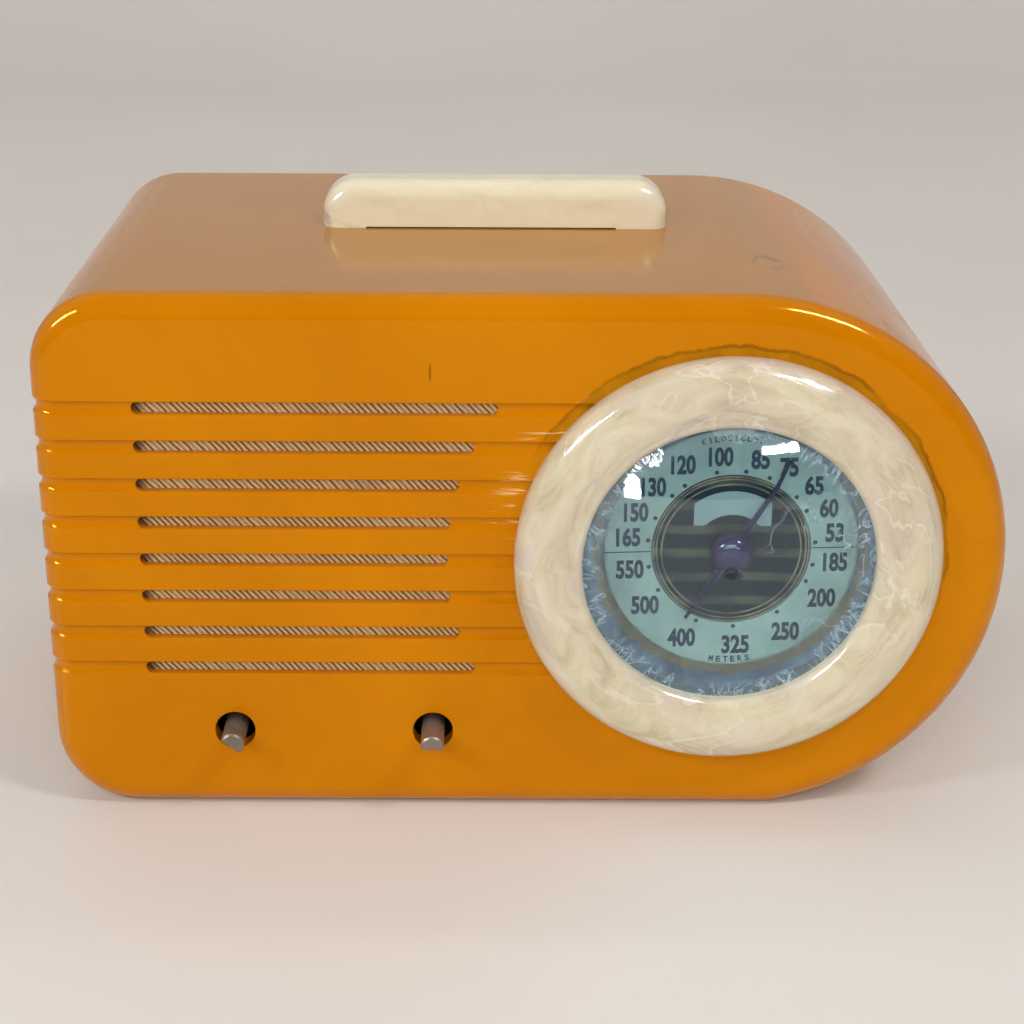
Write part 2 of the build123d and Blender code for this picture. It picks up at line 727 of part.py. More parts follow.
def make_pointer():
    """A double-ended needle with slightly kinked tips."""
    kink, long_tip, short_tip = 22.0, 30.2, 23.1
    half_wide, half_tip = 0.85, 0.4
    outline = [
        (-half_wide, -3),
        (-half_tip, -short_tip),
        (half_tip, -short_tip),
        (half_wide, -3),
        (half_wide, 3),
        (half_tip + 0.15, kink),
        (half_tip - 1.3, long_tip),
        (-half_tip - 1.1, long_tip),
        (-half_tip - 0.15, kink),
        (-half_wide, 3),
    ]
    with BuildPart() as pointer:
        with BuildSketch() as flat:
            with BuildLine():
                Polyline(*outline, close=True)
            make_face()
            Circle(3.4)
            Circle(shaft_radius, mode=Mode.SUBTRACT)
        turned_flat = flat.sketch.rotate(Axis.Z, -pointer_rest)
        placed = facing(pointer_y) * Pos(dial_x, dial_z) * turned_flat
        extrude(placed, amount=pointer_thick, dir=(0, 1, 0))
    return pointer.part


def make_pointer_hub():
    """The domed knob that presses the pointer onto the end of the shaft."""
    with BuildPart() as hub:
        disc(dial_x, dial_z, hub_radius, pointer_y - hub_high, hub_high)
        fillet(hub.faces().sort_by(Axis.Y)[0].edges(), 4.0)
        disc(dial_x, dial_z, shaft_radius, tuning_tip_y, 10, Mode.SUBTRACT)
    return hub.part


pointer_y, pointer_thick, hub_radius, hub_high = scale_y - 1.9, 0.5, 6.0, 5.0
tuning_tip_y = pointer_y - 2.0
save(ring_plate(scale_outer, scale_inner, scale_y, scale_thick), "dial_scale")
save(make_dial_centre(), "dial_centre")
save(make_dial_back_plate(), "dial_back_plate")
save(make_dial_bracket(), "dial_bracket")
save(make_dial_bracket_screws(), "dial_bracket_screws")
save(make_pointer(), "dial_pointer")
save(make_pointer_hub(), "pointer_hub")


# ------------------------------------------------------------------ tuning condenser
frame_front, frame_back = -40.0, -4.0
frame_left, frame_right = 35.0, 80.0
plate_gap, blade, blade_count, first_blade_y = 3.2, 0.6, 8, -35.0
rotor_radius, stator_bar = 18.0, 1.3
stator_clear, stator_right = 5.6, 77.5
bar_spots = [(stator_right - 1.5, dial_z - 21.0), (stator_right - 1.5, dial_z + 21.0)]


def make_condenser_frame():
    """A U of thick sheet that stands on the chassis, with bearing holes for the shaft."""
    high = dial_z + 27.5
    with BuildPart() as frame:
        block((frame_left, chassis_right), (frame_front, frame_back), (chassis_top, chassis_top + 1.6))
        for y in (frame_front, frame_back - 1.6):
            block((frame_left, frame_right), (y, y + 1.6), (chassis_top, high))
            disc(dial_x, dial_z, shaft_radius + running_gap, y, 1.6, Mode.SUBTRACT)
            for x, z in bar_spots:
                disc(x, z, insulator_neck, y, 1.6, Mode.SUBTRACT)
        block((frame_left, frame_right), (frame_front, frame_back), (high - 1.6, high))
    return frame.part


def make_condenser_insulators():
    """Four bushes that carry the stator bars clear of the frame."""
    with BuildPart() as bushes:
        for x, z in bar_spots:
            for y in (frame_front, frame_back - 1.6):
                disc(x, z, insulator_neck, y, 1.6)
                disc(x, z, insulator_neck + 0.9, y - 1.2, 1.2)
                disc(x, z, insulator_neck + 0.9, y + 1.6, 1.2)
        for x, z in bar_spots:
            length = frame_back - frame_front + 4
            disc(x, z, stator_bar, frame_front - 2, length, Mode.SUBTRACT)
    return bushes.part


def make_condenser_rotor():
    """Half-round blades on a sleeve. They are out of mesh when the pointer is at the left."""
    with BuildPart() as rotor:
        with BuildSketch() as half:
            Circle(rotor_radius)
            Rectangle(rotor_radius, 2 * rotor_radius, align=(Align.MIN, Align.CENTER), mode=Mode.INTERSECT)
        blade_face = half.sketch.rotate(Axis.Z, full_mesh_pointer - pointer_rest)
        for index in range(blade_count):
            y = first_blade_y + index * plate_gap
            extrude(facing(y) * Pos(dial_x, dial_z) * blade_face, amount=blade, dir=(0, 1, 0))
        sleeve = (blade_count - 1) * plate_gap + blade + 2
        disc(dial_x, dial_z, shaft_radius + 1.1, first_blade_y - 1, sleeve)
        disc(dial_x, dial_z, shaft_radius, first_blade_y - 2, sleeve + 2, Mode.SUBTRACT)
    return rotor.part


def make_condenser_stator():
    """The fixed blades between the moving ones, joined by two bars."""
    low, high = dial_z - 22.5, dial_z + 22.5
    with BuildPart() as stator:
        for index in range(blade_count - 1):
            y = first_blade_y + plate_gap / 2 + index * plate_gap
            block((dial_x + 1, stator_right), (y, y + blade), (low, high))
        disc(dial_x, dial_z, stator_clear, frame_front, frame_back - frame_front, Mode.SUBTRACT)
        for x, z in bar_spots:
            disc(x, z, stator_bar, frame_front - 2, frame_back - frame_front + 4)
    return stator.part


def make_condenser_shaft():
    """The quarter-inch shaft that carries the blades, the drum and the pointer."""
    with BuildPart() as shaft:
        disc(dial_x, dial_z, shaft_radius, tuning_tip_y, frame_back + 3 - tuning_tip_y)
        chamfer(shaft.edges().filter_by(GeomType.CIRCLE), 0.4)
    return shaft.part


insulator_neck, full_mesh_pointer = 2.4, 88.0
save(make_condenser_frame(), "condenser_frame")
save(make_condenser_insulators(), "condenser_insulators")
save(make_condenser_rotor(), "condenser_rotor")
save(make_condenser_stator(), "condenser_stator")
save(make_condenser_shaft(), "condenser_shaft")


# ------------------------------------------------------------------ drum and dial cord
drum_front, drum_back = drum_groove_y - 1.1, drum_groove_y + drum_groove_wide + 1.1
web_y, web_thick, drum_hub = drum_groove_y + 0.9, 1.0, 6.5
spring_length = 10.0


def make_drum():
    """The grooved drum that the dial cord turns."""
    floor_radius = drum_cord_radius - cord_radius - cord_gap
    length = drum_back - drum_front
    with BuildPart() as drum:
        disc(dial_x, dial_z, drum_rim, drum_front, length)
        disc(dial_x, dial_z, floor_radius - 2.2, drum_front, length, Mode.SUBTRACT)
        with BuildSketch(facing(drum_groove_y)) as groove:
            with Locations((dial_x, dial_z)):
                Circle(drum_rim + 1)
                Circle(floor_radius, mode=Mode.SUBTRACT)
        extrude(groove.sketch, amount=drum_groove_wide, dir=(0, 1, 0), mode=Mode.SUBTRACT)
        disc(dial_x, dial_z, floor_radius - 2, web_y, web_thick)
        with BuildSketch(facing(web_y)) as windows:
            with Locations((dial_x, dial_z)):
                with PolarLocations(17.0, 4, -pointer_rest):
                    SlotOverall(17, 9, rotation=90)
        extrude(windows.sketch, amount=web_thick, dir=(0, 1, 0), mode=Mode.SUBTRACT)
        disc(dial_x, dial_z, drum_hub, drum_front, length + 1)
        disc(dial_x, dial_z, shaft_radius, drum_front, length + 1, Mode.SUBTRACT)
    return drum.part


def make_drum_spring():
    """The small coil spring in one of the drum's windows that keeps the cord tight."""
    with BuildPart() as spring:
        with BuildLine() as wire:
            Helix(pitch=1.0, height=spring_length, radius=1.7)
        with BuildSketch(Plane(origin=wire.line @ 0, z_dir=wire.line % 0)) as section:
            Circle(0.28)
        sweep(section.sketch, path=wire.line, is_frenet=True)
    turn = radians(90 - pointer_rest)
    start = drum_point(-spring_length / 2, spring_out, web_y + web_thick / 2)
    return Plane(start, x_dir=(0, 1, 0), z_dir=(-sin(turn), 0, cos(turn))) * spring.part


def drum_point(across, out, y):
    """A point of the drum, given along and away from the line to the spring, at depth y."""
    turn = radians(90 - pointer_rest)
    x = dial_x + out * cos(turn) - across * sin(turn)
    z = dial_z + out * sin(turn) + across * cos(turn)
    return (x, y, z)


def make_cord_tails():
    """The two ends of the dial cord, from the spring out to the drum's rim."""
    out_to, y = drum_cord_radius - 4.2, web_y - cord_radius - 0.1
    with BuildPart() as tails:
        for side in (-1, 1):
            start = Vector(*drum_point(side * (spring_length / 2 + 1), spring_out, y))
            end = Vector(*drum_point(side * (spring_length / 2 + 2), out_to, y))
            with BuildSketch(Plane(origin=start, z_dir=end - start)) as section:
                Circle(cord_radius)
            extrude(section.sketch, amount=(end - start).length, dir=(end - start).normalized())
    return tails.part


def cord_bends():
    """Points over the drum, and points round the shaft, each along the way that the cord runs."""
    across, up = tuning_x - dial_x, control_z - dial_z
    toward = degrees(atan2(up, across))
    spread = degrees(acos((drum_cord_radius - spool_radius) / hypot(across, up)))

    def bend(centre_x, centre_z, radius, begin, turn, rise, steps):
        """Evenly spaced points of an arc that also creeps along Y."""
        for step in range(steps + 1):
            angle = radians(begin + turn * step / steps)
            y = cord_y + rise * (step / steps - 0.5)
            yield Vector(centre_x + radius * cos(angle), y, centre_z + radius * sin(angle))

    over, wrap = 360 - 2 * spread, 2 * spread + 360 * cord_wraps
    yield list(bend(dial_x, dial_z, drum_cord_radius, toward + spread, over, -cord_shift, 24))
    yield list(bend(tuning_x, control_z, spool_radius, toward - spread, wrap, cord_shift, 60))


def make_dial_cord():
    """The closed loop of cord between the drum and the tuning shaft, with its wraps."""
    over_drum, round_shaft = cord_bends()
    with BuildPart() as cord:
        for points in (
            over_drum,
            [over_drum[-1], round_shaft[0]],
            round_shaft,
            [round_shaft[-1], over_drum[0]],
        ):
            with BuildLine() as path:
                Spline(*points) if len(points) > 2 else Line(*points)
            with BuildSketch(Plane(origin=path.line @ 0, z_dir=path.line % 0)) as section:
                Circle(cord_radius)
            sweep(section.sketch, path=path.line)
            with Locations(points[0]):
                Sphere(cord_radius * 1.02)
    return cord.part


spring_out = 17.0
cord_y, cord_shift, cord_wraps = drum_groove_y + drum_groove_wide / 2, 1.9, 2
save(make_drum(), "dial_drum")
save(make_drum_spring(), "drum_spring")
save(make_cord_tails(), "dial_cord_tails")
save(make_dial_cord(), "dial_cord")


# ------------------------------------------------------------------ control shafts
tuning_tip, volume_tip = front_y - 10.0, front_y - 9.0
tuning_end, volume_end = -33.5, -36.5
clip_radius, clip_seat, clip_thick = 5.4, 2.5, 0.6
clip_ys = (-48.3, -35.3)
volume_groove_y = volume_tip + 3.2
case_radius, case_wall, case_back = 12.0, 0.8, -33.0
case_front = chassis_front + sheet


def control_shaft(x, tip, end, flat_turn, grooves):
    """A quarter-inch shaft with a bevelled tip, a D flat along its front and ring grooves."""
    with BuildPart() as shaft:
        disc(x, control_z, shaft_radius, tip, end - tip)
        chamfer(shaft.edges().filter_by(GeomType.CIRCLE), 0.45)
        for y, seat, wide in grooves:
            with BuildSketch(facing(y)) as ring:
                with Locations((x, control_z)):
                    Circle(shaft_radius + 1)
                    Circle(seat, mode=Mode.SUBTRACT)
            extrude(ring.sketch, amount=wide, dir=(0, 1, 0), mode=Mode.SUBTRACT)
        with BuildSketch() as cut:
            Rectangle(4 * shaft_radius, 4, align=(Align.CENTER, Align.MAX))
        lowered = Pos(0, -flat_offset) * cut.sketch
        placed = facing(tip) * Pos(x, control_z) * lowered.rotate(Axis.Z, -flat_turn)
        extrude(placed, amount=flat_length, dir=(0, 1, 0), mode=Mode.SUBTRACT)
    return shaft.part


def make_tuning_clips():
    """The two spring clips that keep the tuning shaft in its bushing."""
    with BuildPart() as clips:
        for y in clip_ys:
            disc(tuning_x, control_z, clip_radius, y, clip_thick)
            disc(tuning_x, control_z, clip_seat, y, clip_thick, Mode.SUBTRACT)
            gap_x, gap_z = (tuning_x - 1.2, tuning_x + 1.2), (control_z + clip_seat * 0.8, control_z + 8)
            block(gap_x, (y, y + clip_thick), gap_z, Mode.SUBTRACT)
    return clips.part


def bushing(x, flange_y, flange_thick, flange_radius, barrel_y, barrel_length):
    """A threaded bushing with a flange, bored to run freely on the shaft."""
    with BuildPart() as part:
        disc(x, control_z, bushing_radius, barrel_y, barrel_length)
        if flange_radius:
            disc(x, control_z, flange_radius, flange_y, flange_thick)
        low = min(barrel_y, flange_y)
        disc(x, control_z, shaft_radius + running_gap, low, barrel_length + 2, Mode.SUBTRACT)
    return part.part


def make_control_nuts():
    """The thin hexagon nuts on the two bushings, one behind the chassis front and one before it."""
    thick = 2.4
    with BuildPart() as nuts:
        for x, y in ((tuning_x, chassis_front + sheet), (volume_x, chassis_front - thick)):
            with BuildSketch(facing(y)) as face:
                with Locations((x, control_z)):
                    RegularPolygon(7.3, 6)
                    Circle(bushing_radius, mode=Mode.SUBTRACT)
            extrude(face.sketch, amount=thick, dir=(0, 1, 0))
    return nuts.part


def make_volume_case():
    """The round case of the volume control, with its three solder lugs."""
    with BuildPart() as case:
        disc(volume_x, control_z, case_radius, case_front, case_back - case_front)
        for side in (-1, 0, 1):
            lug = (volume_x + 6 * side - 1, volume_x + 6 * side + 1)
            block(lug, (case_front, case_front + 0.8), (control_z - 16.0, control_z - 6))
        inner_y, room = case_front + case_wall, case_back - case_front - 2 * case_wall
        disc(volume_x, control_z, case_radius - case_wall, inner_y, room, Mode.SUBTRACT)
        disc(volume_x, control_z, shaft_radius + 0.6, case_front, 3, Mode.SUBTRACT)
    return case.part


def make_volume_wiper():
    """The wiper arm on the end of the volume shaft."""
    with BuildPart() as wiper:
        disc(volume_x, control_z, 5.0, volume_end - 3, 1.4)
        reach_z = (control_z + 2, control_z + 9.4)
        block((volume_x - 1.4, volume_x + 1.4), (volume_end - 3, volume_end - 2.4), reach_z)
        disc(volume_x, control_z, shaft_radius, volume_end - 3, 3, Mode.SUBTRACT)
    return wiper.part


def make_power_switch():
    """The on-off switch on the back of the volume control."""
    with BuildPart() as switch:
        disc(volume_x, control_z, case_radius - 0.8, case_back, 6.5)
        fillet(switch.edges().filter_by(GeomType.CIRCLE).sort_by(Axis.Y)[-1:], 1.0)
        for side in (-1, 1):
            lug = (volume_x + 5 * side - 1, volume_x + 5 * side + 1)
            block(lug, (case_back + 5, case_back + 11), (control_z - 0.4, control_z + 0.4))
    return switch.part


tuning_grooves = [(y, clip_seat, clip_thick) for y in clip_ys]
volume_grooves = [(volume_groove_y, 2.75, 0.8), (volume_groove_y + 1.9, 2.9, 0.6)]
save(control_shaft(tuning_x, tuning_tip, tuning_end, 0, tuning_grooves), "tuning_shaft")
save(make_tuning_clips(), "tuning_clips")
save(bushing(tuning_x, chassis_front - 1.2, 1.2, 7.5, chassis_front - 1.2, 10.5), "tuning_bushing")
save(make_control_nuts(), "control_nuts")
volume_shaft = control_shaft(volume_x, volume_tip, volume_end, volume_flat_turn, volume_grooves)
save(volume_shaft, "volume_shaft")
save(bushing(volume_x, case_front, 0, 0, case_front - 10.4, 10.4), "volume_bushing")
save(make_volume_case(), "volume_case")
save(make_volume_wiper(), "volume_wiper")
save(make_power_switch(), "power_switch")


# ------------------------------------------------------------------ dial lamp
def make_lamp_socket():
    """The lamp's shell on a strap that stands up from the condenser's frame."""
    with BuildPart() as socket:
        strap_x = (dial_x - 5, dial_x + 5)
        block(strap_x, (frame_front - 1.2, frame_front), (dial_z + 8, lamp_z + 5))
        disc(dial_x, lamp_z, lamp_radius + 0.5, lamp_y, frame_front - 1.2 - lamp_y)
        disc(dial_x, lamp_z, lamp_radius - 0.8, lamp_y, 5, Mode.SUBTRACT)
    return socket.part


def make_lamp_bulb():
    """A small round-ended bulb with a metal cap that plugs into the shell."""
    with BuildPart() as bulb:
        disc(dial_x, lamp_z, lamp_radius, lamp_y - 10, 10)
        fillet(bulb.faces().sort_by(Axis.Y)[0].edges(), lamp_radius - 0.4)
        disc(dial_x, lamp_z, lamp_radius - 0.9, lamp_y, 4.8)
    return bulb.part


save(make_lamp_socket(), "dial_lamp_socket")
save(make_lamp_bulb(), "dial_lamp_bulb")


# ------------------------------------------------------------------ tubes and parts on the chassis
pin_circle, pin_radius = 8.75, 1.15
socket_thick, base_high, bulb_high = 3.0, 14.0, 54.0
base_radius, bulb_radius = 16.2, 14.8
base_foot = chassis_top + socket_thick
bulb_foot = base_foot + base_high


def make_tube_sockets():
    """Six moulded sockets sunk into the chassis, each with eight pin holes and a key hole."""
    with BuildPart() as sockets:
        for x, y in tube_spots:
            post(x, y, socket_radius, chassis_top, socket_thick)
            post(x, y, socket_hole - 0.4, chassis_top - 4, 4)
        with BuildSketch(Plane.XY.offset(chassis_top - 4)) as holes:
            with Locations(*tube_spots):
                with PolarLocations(pin_circle, 8):
                    Circle(pin_radius + 0.15)
                Circle(4.1)
        extrude(holes.sketch, amount=4 + socket_thick, dir=(0, 0, 1), mode=Mode.SUBTRACT)
    return sockets.part


def make_tube_bases():
    """The tubes' moulded bases with their pins and key posts."""
    with BuildPart() as bases:
        for x, y in tube_spots:
            post(x, y, base_radius, base_foot, base_high)
            post(x, y, 3.9, base_foot - 7, 7)
        with BuildSketch(Plane.XY.offset(base_foot - 8)) as pins:
            with Locations(*tube_spots):
                with PolarLocations(pin_circle, 8):
                    Circle(pin_radius)
        extrude(pins.sketch, amount=8, dir=(0, 0, 1))
    return bases.part


def make_tube_bulbs():
    """The tubes' glass envelopes."""
    with BuildPart() as bulbs:
        for x, y in tube_spots:
            post(x, y, bulb_radius, bulb_foot, bulb_high)
        fillet(bulbs.faces().group_by(Axis.Z)[-1].edges(), 11)
        offset(amount=-1.0, openings=bulbs.faces().group_by(Axis.Z)[0])
    return bulbs.part


def make_tube_electrodes():
    """The metal plate assembly inside each tube, between two mica discs on a glass stem."""
    with BuildPart() as insides:
        for x, y in tube_spots:
            post(x, y, 5.0, bulb_foot, 9)
            post(x, y, 6.5, bulb_foot + 9, 28)
            for rise in (8, 37):
                post(x, y, 10.5, bulb_foot + rise, 0.8)
    return insides.part


def make_if_cans():
    """Two screened coil cans."""
    with BuildPart() as cans:
        for x, y in can_spots:
            block((x - 13, x + 13), (y - 13, y + 13), (chassis_top, chassis_top + 56), corner=3)
        fillet(cans.faces().group_by(Axis.Z)[-1].edges(), 1.5)
        for x, y in can_spots:
            post(x, y, 3, chassis_top + 55, 1, Mode.SUBTRACT)
    return cans.part


def make_filter_capacitor():
    """The upright can of the filter capacitor."""
    with BuildPart() as can:
        post(*filter_spot, 12.7, chassis_top, 62)
        fillet(can.faces().sort_by(Axis.Z)[-1].edges(), 1.5)
    return can.part


def make_transformer_core():
    """The output transformer's stack of laminations, with a window each side of the middle leg."""
    low, high = chassis_top, chassis_top + 32
    with BuildPart() as core:
        block((34, 70), (38, 52), (low, high))
        for left in (40, 58):
            block((left, left + 6), (38, 52), (low + 6, high - 6), Mode.SUBTRACT)
    return core.part


def make_transformer_coil():
    """The paper-wrapped coil round the middle leg."""
    low, high = chassis_top + 6, chassis_top + 26
    with BuildPart() as coil:
        block((40.3, 63.7), (33, 57), (low + 0.3, high - 0.3), corner=3)
        block((46, 58), (38, 52), (low, high), Mode.SUBTRACT)
    return coil.part


save(make_tube_sockets(), "tube_sockets")
save(make_tube_bases(), "tube_bases")
save(make_tube_bulbs(), "tube_bulbs")
save(make_tube_electrodes(), "tube_electrodes")
save(make_if_cans(), "if_cans")
save(make_filter_capacitor(), "filter_capacitor")
save(make_transformer_core(), "transformer_core")
save(make_transformer_coil(), "transformer_coil")


# ------------------------------------------------------------------ parts below the chassis
board_low, board_thick = base_z + 30.0, 1.6
capacitor_radius, resistor_radius = 4.5, 1.8
capacitor_xs = (-80.0, -48.0, -16.0)
resistor_xs = (-84.0, -66.0, -48.0, -30.0, -12.0)


def make_tag_board():
    """A strip of board hung under the chassis on two posts."""
    with BuildPart() as board:
        block((-96, 6), (-16, 12), (board_low, board_low + board_thick))
        for x in (-92.5, 2.5):
            post(x, -12.5, 2.4, board_low, chassis_top - sheet - board_low)
    return board.part


def lying_cylinders(xs, y, radius, length):
    """A row of cylinders along X that touch the board's underside."""
    with BuildPart() as row:
        z = board_low - radius
        for x in xs:
            with BuildSketch(Plane.YZ.offset(x - length / 2)) as face:
                with Locations((y, z)):
                    Circle(radius)
            extrude(face.sketch, amount=length, dir=(1, 0, 0))
    return row.part


save(make_tag_board(), "tag_board")
save(lying_cylinders(capacitor_xs, 4.0, capacitor_radius, 27), "wax_capacitors")
save(lying_cylinders(resistor_xs, -9.0, resistor_radius, 12), "resistors")
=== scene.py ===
"""Looks for the table radio: materials, dial print, floor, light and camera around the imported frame."""

import bpy
import math
from mathutils import Matrix, Quaternion, Vector


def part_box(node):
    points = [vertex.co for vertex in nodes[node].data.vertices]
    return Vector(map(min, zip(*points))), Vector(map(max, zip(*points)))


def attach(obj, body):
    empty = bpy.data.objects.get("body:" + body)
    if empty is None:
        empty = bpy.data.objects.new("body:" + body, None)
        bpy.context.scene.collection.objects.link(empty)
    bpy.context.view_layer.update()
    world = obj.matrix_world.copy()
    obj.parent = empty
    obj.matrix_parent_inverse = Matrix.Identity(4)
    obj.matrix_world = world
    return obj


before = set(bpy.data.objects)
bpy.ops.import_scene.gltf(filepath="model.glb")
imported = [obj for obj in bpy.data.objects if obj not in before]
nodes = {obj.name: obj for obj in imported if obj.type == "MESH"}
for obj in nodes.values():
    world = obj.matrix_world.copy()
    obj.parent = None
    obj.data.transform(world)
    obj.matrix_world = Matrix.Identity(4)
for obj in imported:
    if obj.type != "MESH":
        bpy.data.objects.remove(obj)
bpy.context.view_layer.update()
MM = 0.001


def box_of(name):
    low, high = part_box(name)
    return Vector(low), Vector(high)


def middle(name):
    low, high = box_of(name)
    return (low + high) / 2


# ------------------------------------------------------------------ node graphs
class Graph:
    """A material's node tree, with one short call for each kind of node."""

    def __init__(self, name):
        self.material = bpy.data.materials.new(name)
        self.material.use_nodes = True
        self.tree = self.material.node_tree
        self.tree.nodes.clear()
        self.output = self.tree.nodes.new("ShaderNodeOutputMaterial")
        self.place = self.tree.nodes.new("ShaderNodeTexCoord").outputs["Object"]

    def set(self, socket, value):
        """Links a socket to another, or gives it a plain value."""
        if isinstance(value, bpy.types.NodeSocket):
            self.tree.links.new(value, socket)
        elif hasattr(value, "__len__") and len(value) == 3 and len(socket.default_value) == 4:
            socket.default_value = (*value, 1.0)
        else:
            socket.default_value = value

    def math(self, operation, a, b=0.0, clamp=False):
        node = self.tree.nodes.new("ShaderNodeMath")
        node.operation = operation
        node.use_clamp = clamp
        for socket, value in zip(node.inputs, (a, b)):
            self.set(socket, value)
        return node.outputs[0]

    def axis(self, which):
        node = self.tree.nodes.new("ShaderNodeSeparateXYZ")
        self.set(node.inputs[0], self.place)
        return node.outputs[which]

    def stretch(self, scale=(1, 1, 1), turn=(0, 0, 0), shift=(0, 0, 0)):
        node = self.tree.nodes.new("ShaderNodeMapping")
        self.set(node.inputs["Vector"], self.place)
        node.inputs["Location"].default_value = shift
        node.inputs["Rotation"].default_value = turn
        node.inputs["Scale"].default_value = scale
        return node.outputs[0]

    def noise(self, scale, detail=4.0, rough=0.55, distortion=0.0, vector=None, colour=False):
        node = self.tree.nodes.new("ShaderNodeTexNoise")
        self.set(node.inputs["Vector"], vector or self.place)
        node.inputs["Scale"].default_value = scale
        node.inputs["Detail"].default_value = detail
        node.inputs["Roughness"].default_value = rough
        node.inputs["Distortion"].default_value = distortion
        return node.outputs["Color" if colour else "Fac"]

    def wave(self, scale, distortion=0.0, detail=2.0, vector=None, kind="BANDS", along="X"):
        node = self.tree.nodes.new("ShaderNodeTexWave")
        node.wave_type = kind
        if kind == "BANDS":
            node.bands_direction = along
        else:
            node.rings_direction = along
        self.set(node.inputs["Vector"], vector or self.place)
        node.inputs["Scale"].default_value = scale
        node.inputs["Distortion"].default_value = distortion
        node.inputs["Detail"].default_value = detail
        return node.outputs["Fac"]

    def cells(self, scale, vector):
        """How far a point is from the nearest edge of a pattern of random cells."""
        node = self.tree.nodes.new("ShaderNodeTexVoronoi")
        node.feature = "DISTANCE_TO_EDGE"
        self.set(node.inputs["Vector"], vector)
        node.inputs["Scale"].default_value = scale
        return node.outputs["Distance"]

    def range(self, value, low, high, to_low=0.0, to_high=1.0, smooth=True):
        node = self.tree.nodes.new("ShaderNodeMapRange")
        node.interpolation_type = "SMOOTHSTEP" if smooth else "LINEAR"
        for socket, number in zip(node.inputs, (value, low, high, to_low, to_high)):
            self.set(socket, number)
        return node.outputs[0]

    def mix(self, amount, a, b):
        node = self.tree.nodes.new("ShaderNodeMix")
        node.data_type = "RGBA"
        factor, first_colour, second_colour, blended = node.inputs[0], node.inputs[6], node.inputs[7], node.outputs[2]
        self.set(factor, amount)
        self.set(first_colour, a)
        self.set(second_colour, b)
        return blended

    def ramp(self, value, stops):
        node = self.tree.nodes.new("ShaderNodeValToRGB")
        elements = node.color_ramp.elements
        while len(elements) < len(stops):
            elements.new(0.5)
        for element, (position, colour) in zip(elements, stops):
            element.position = position
            element.color = (*colour, 1.0)
        self.set(node.inputs[0], value)
        return node.outputs[0]

    def bump(self, height, strength, distance):
        node = self.tree.nodes.new("ShaderNodeBump")
        node.inputs["Strength"].default_value = strength
        node.inputs["Distance"].default_value = distance
        self.set(node.inputs["Height"], height)
        return node.outputs[0]

    def surface(self, **sockets):
        """Ends the graph in one Principled surface with these sockets."""
        shader = self.tree.nodes.new("ShaderNodeBsdfPrincipled")
        for name, value in sockets.items():
            self.set(shader.inputs[name.replace("_", " ")], value)
        self.tree.links.new(shader.outputs[0], self.output.inputs["Surface"])
        return shader

    def blend(self, amount, first, second):
        """Ends the graph in a mix of two shaders."""
        node = self.tree.nodes.new("ShaderNodeMixShader")
        for socket, source in zip(node.inputs, (amount, first.outputs[0], second.outputs[0])):
            self.tree.links.new(source, socket)
        self.tree.links.new(node.outputs[0], self.output.inputs["Surface"])
        return node

    def length(self, a, b):
        squares = self.math("ADD", self.math("POWER", a, 2.0), self.math("POWER", b, 2.0))
        return self.math("SQRT", squares)

    def disc_distance(self, centre):
        """How far a point is from a line along Y through centre."""
        across = self.math("SUBTRACT", self.axis(0), centre.x)
        up = self.math("SUBTRACT", self.axis(2), centre.z)
        return self.length(across, up)

    def disc_angle(self, centre):
        """The angle of a point round a line along Y through centre, from the right."""
        across = self.math("SUBTRACT", self.axis(0), centre.x)
        up = self.math("SUBTRACT", self.axis(2), centre.z)
        return self.math("ARCTAN2", up, across)


# ------------------------------------------------------------------ materials
bezel_centre = middle("dial_bezel")
lens_centre = middle("dial_lens")
dial_centre = middle("dial_scale")
front_face = box_of("cabinet")[0].y
cabinet_top = box_of("cabinet")[1].z
handle_centre = middle("handle")
cloth_low, cloth_high = box_of("grille_cloth")
slot_left = cloth_low.x + 0.0042  # where the open slots begin
top_rings = [(0.0668, -0.0298, 0.0036), (0.0847, -0.0604, 0.0022)]  # x, y and radius of each stain on the top
nick_x, nick_z = -0.0254, 0.1280


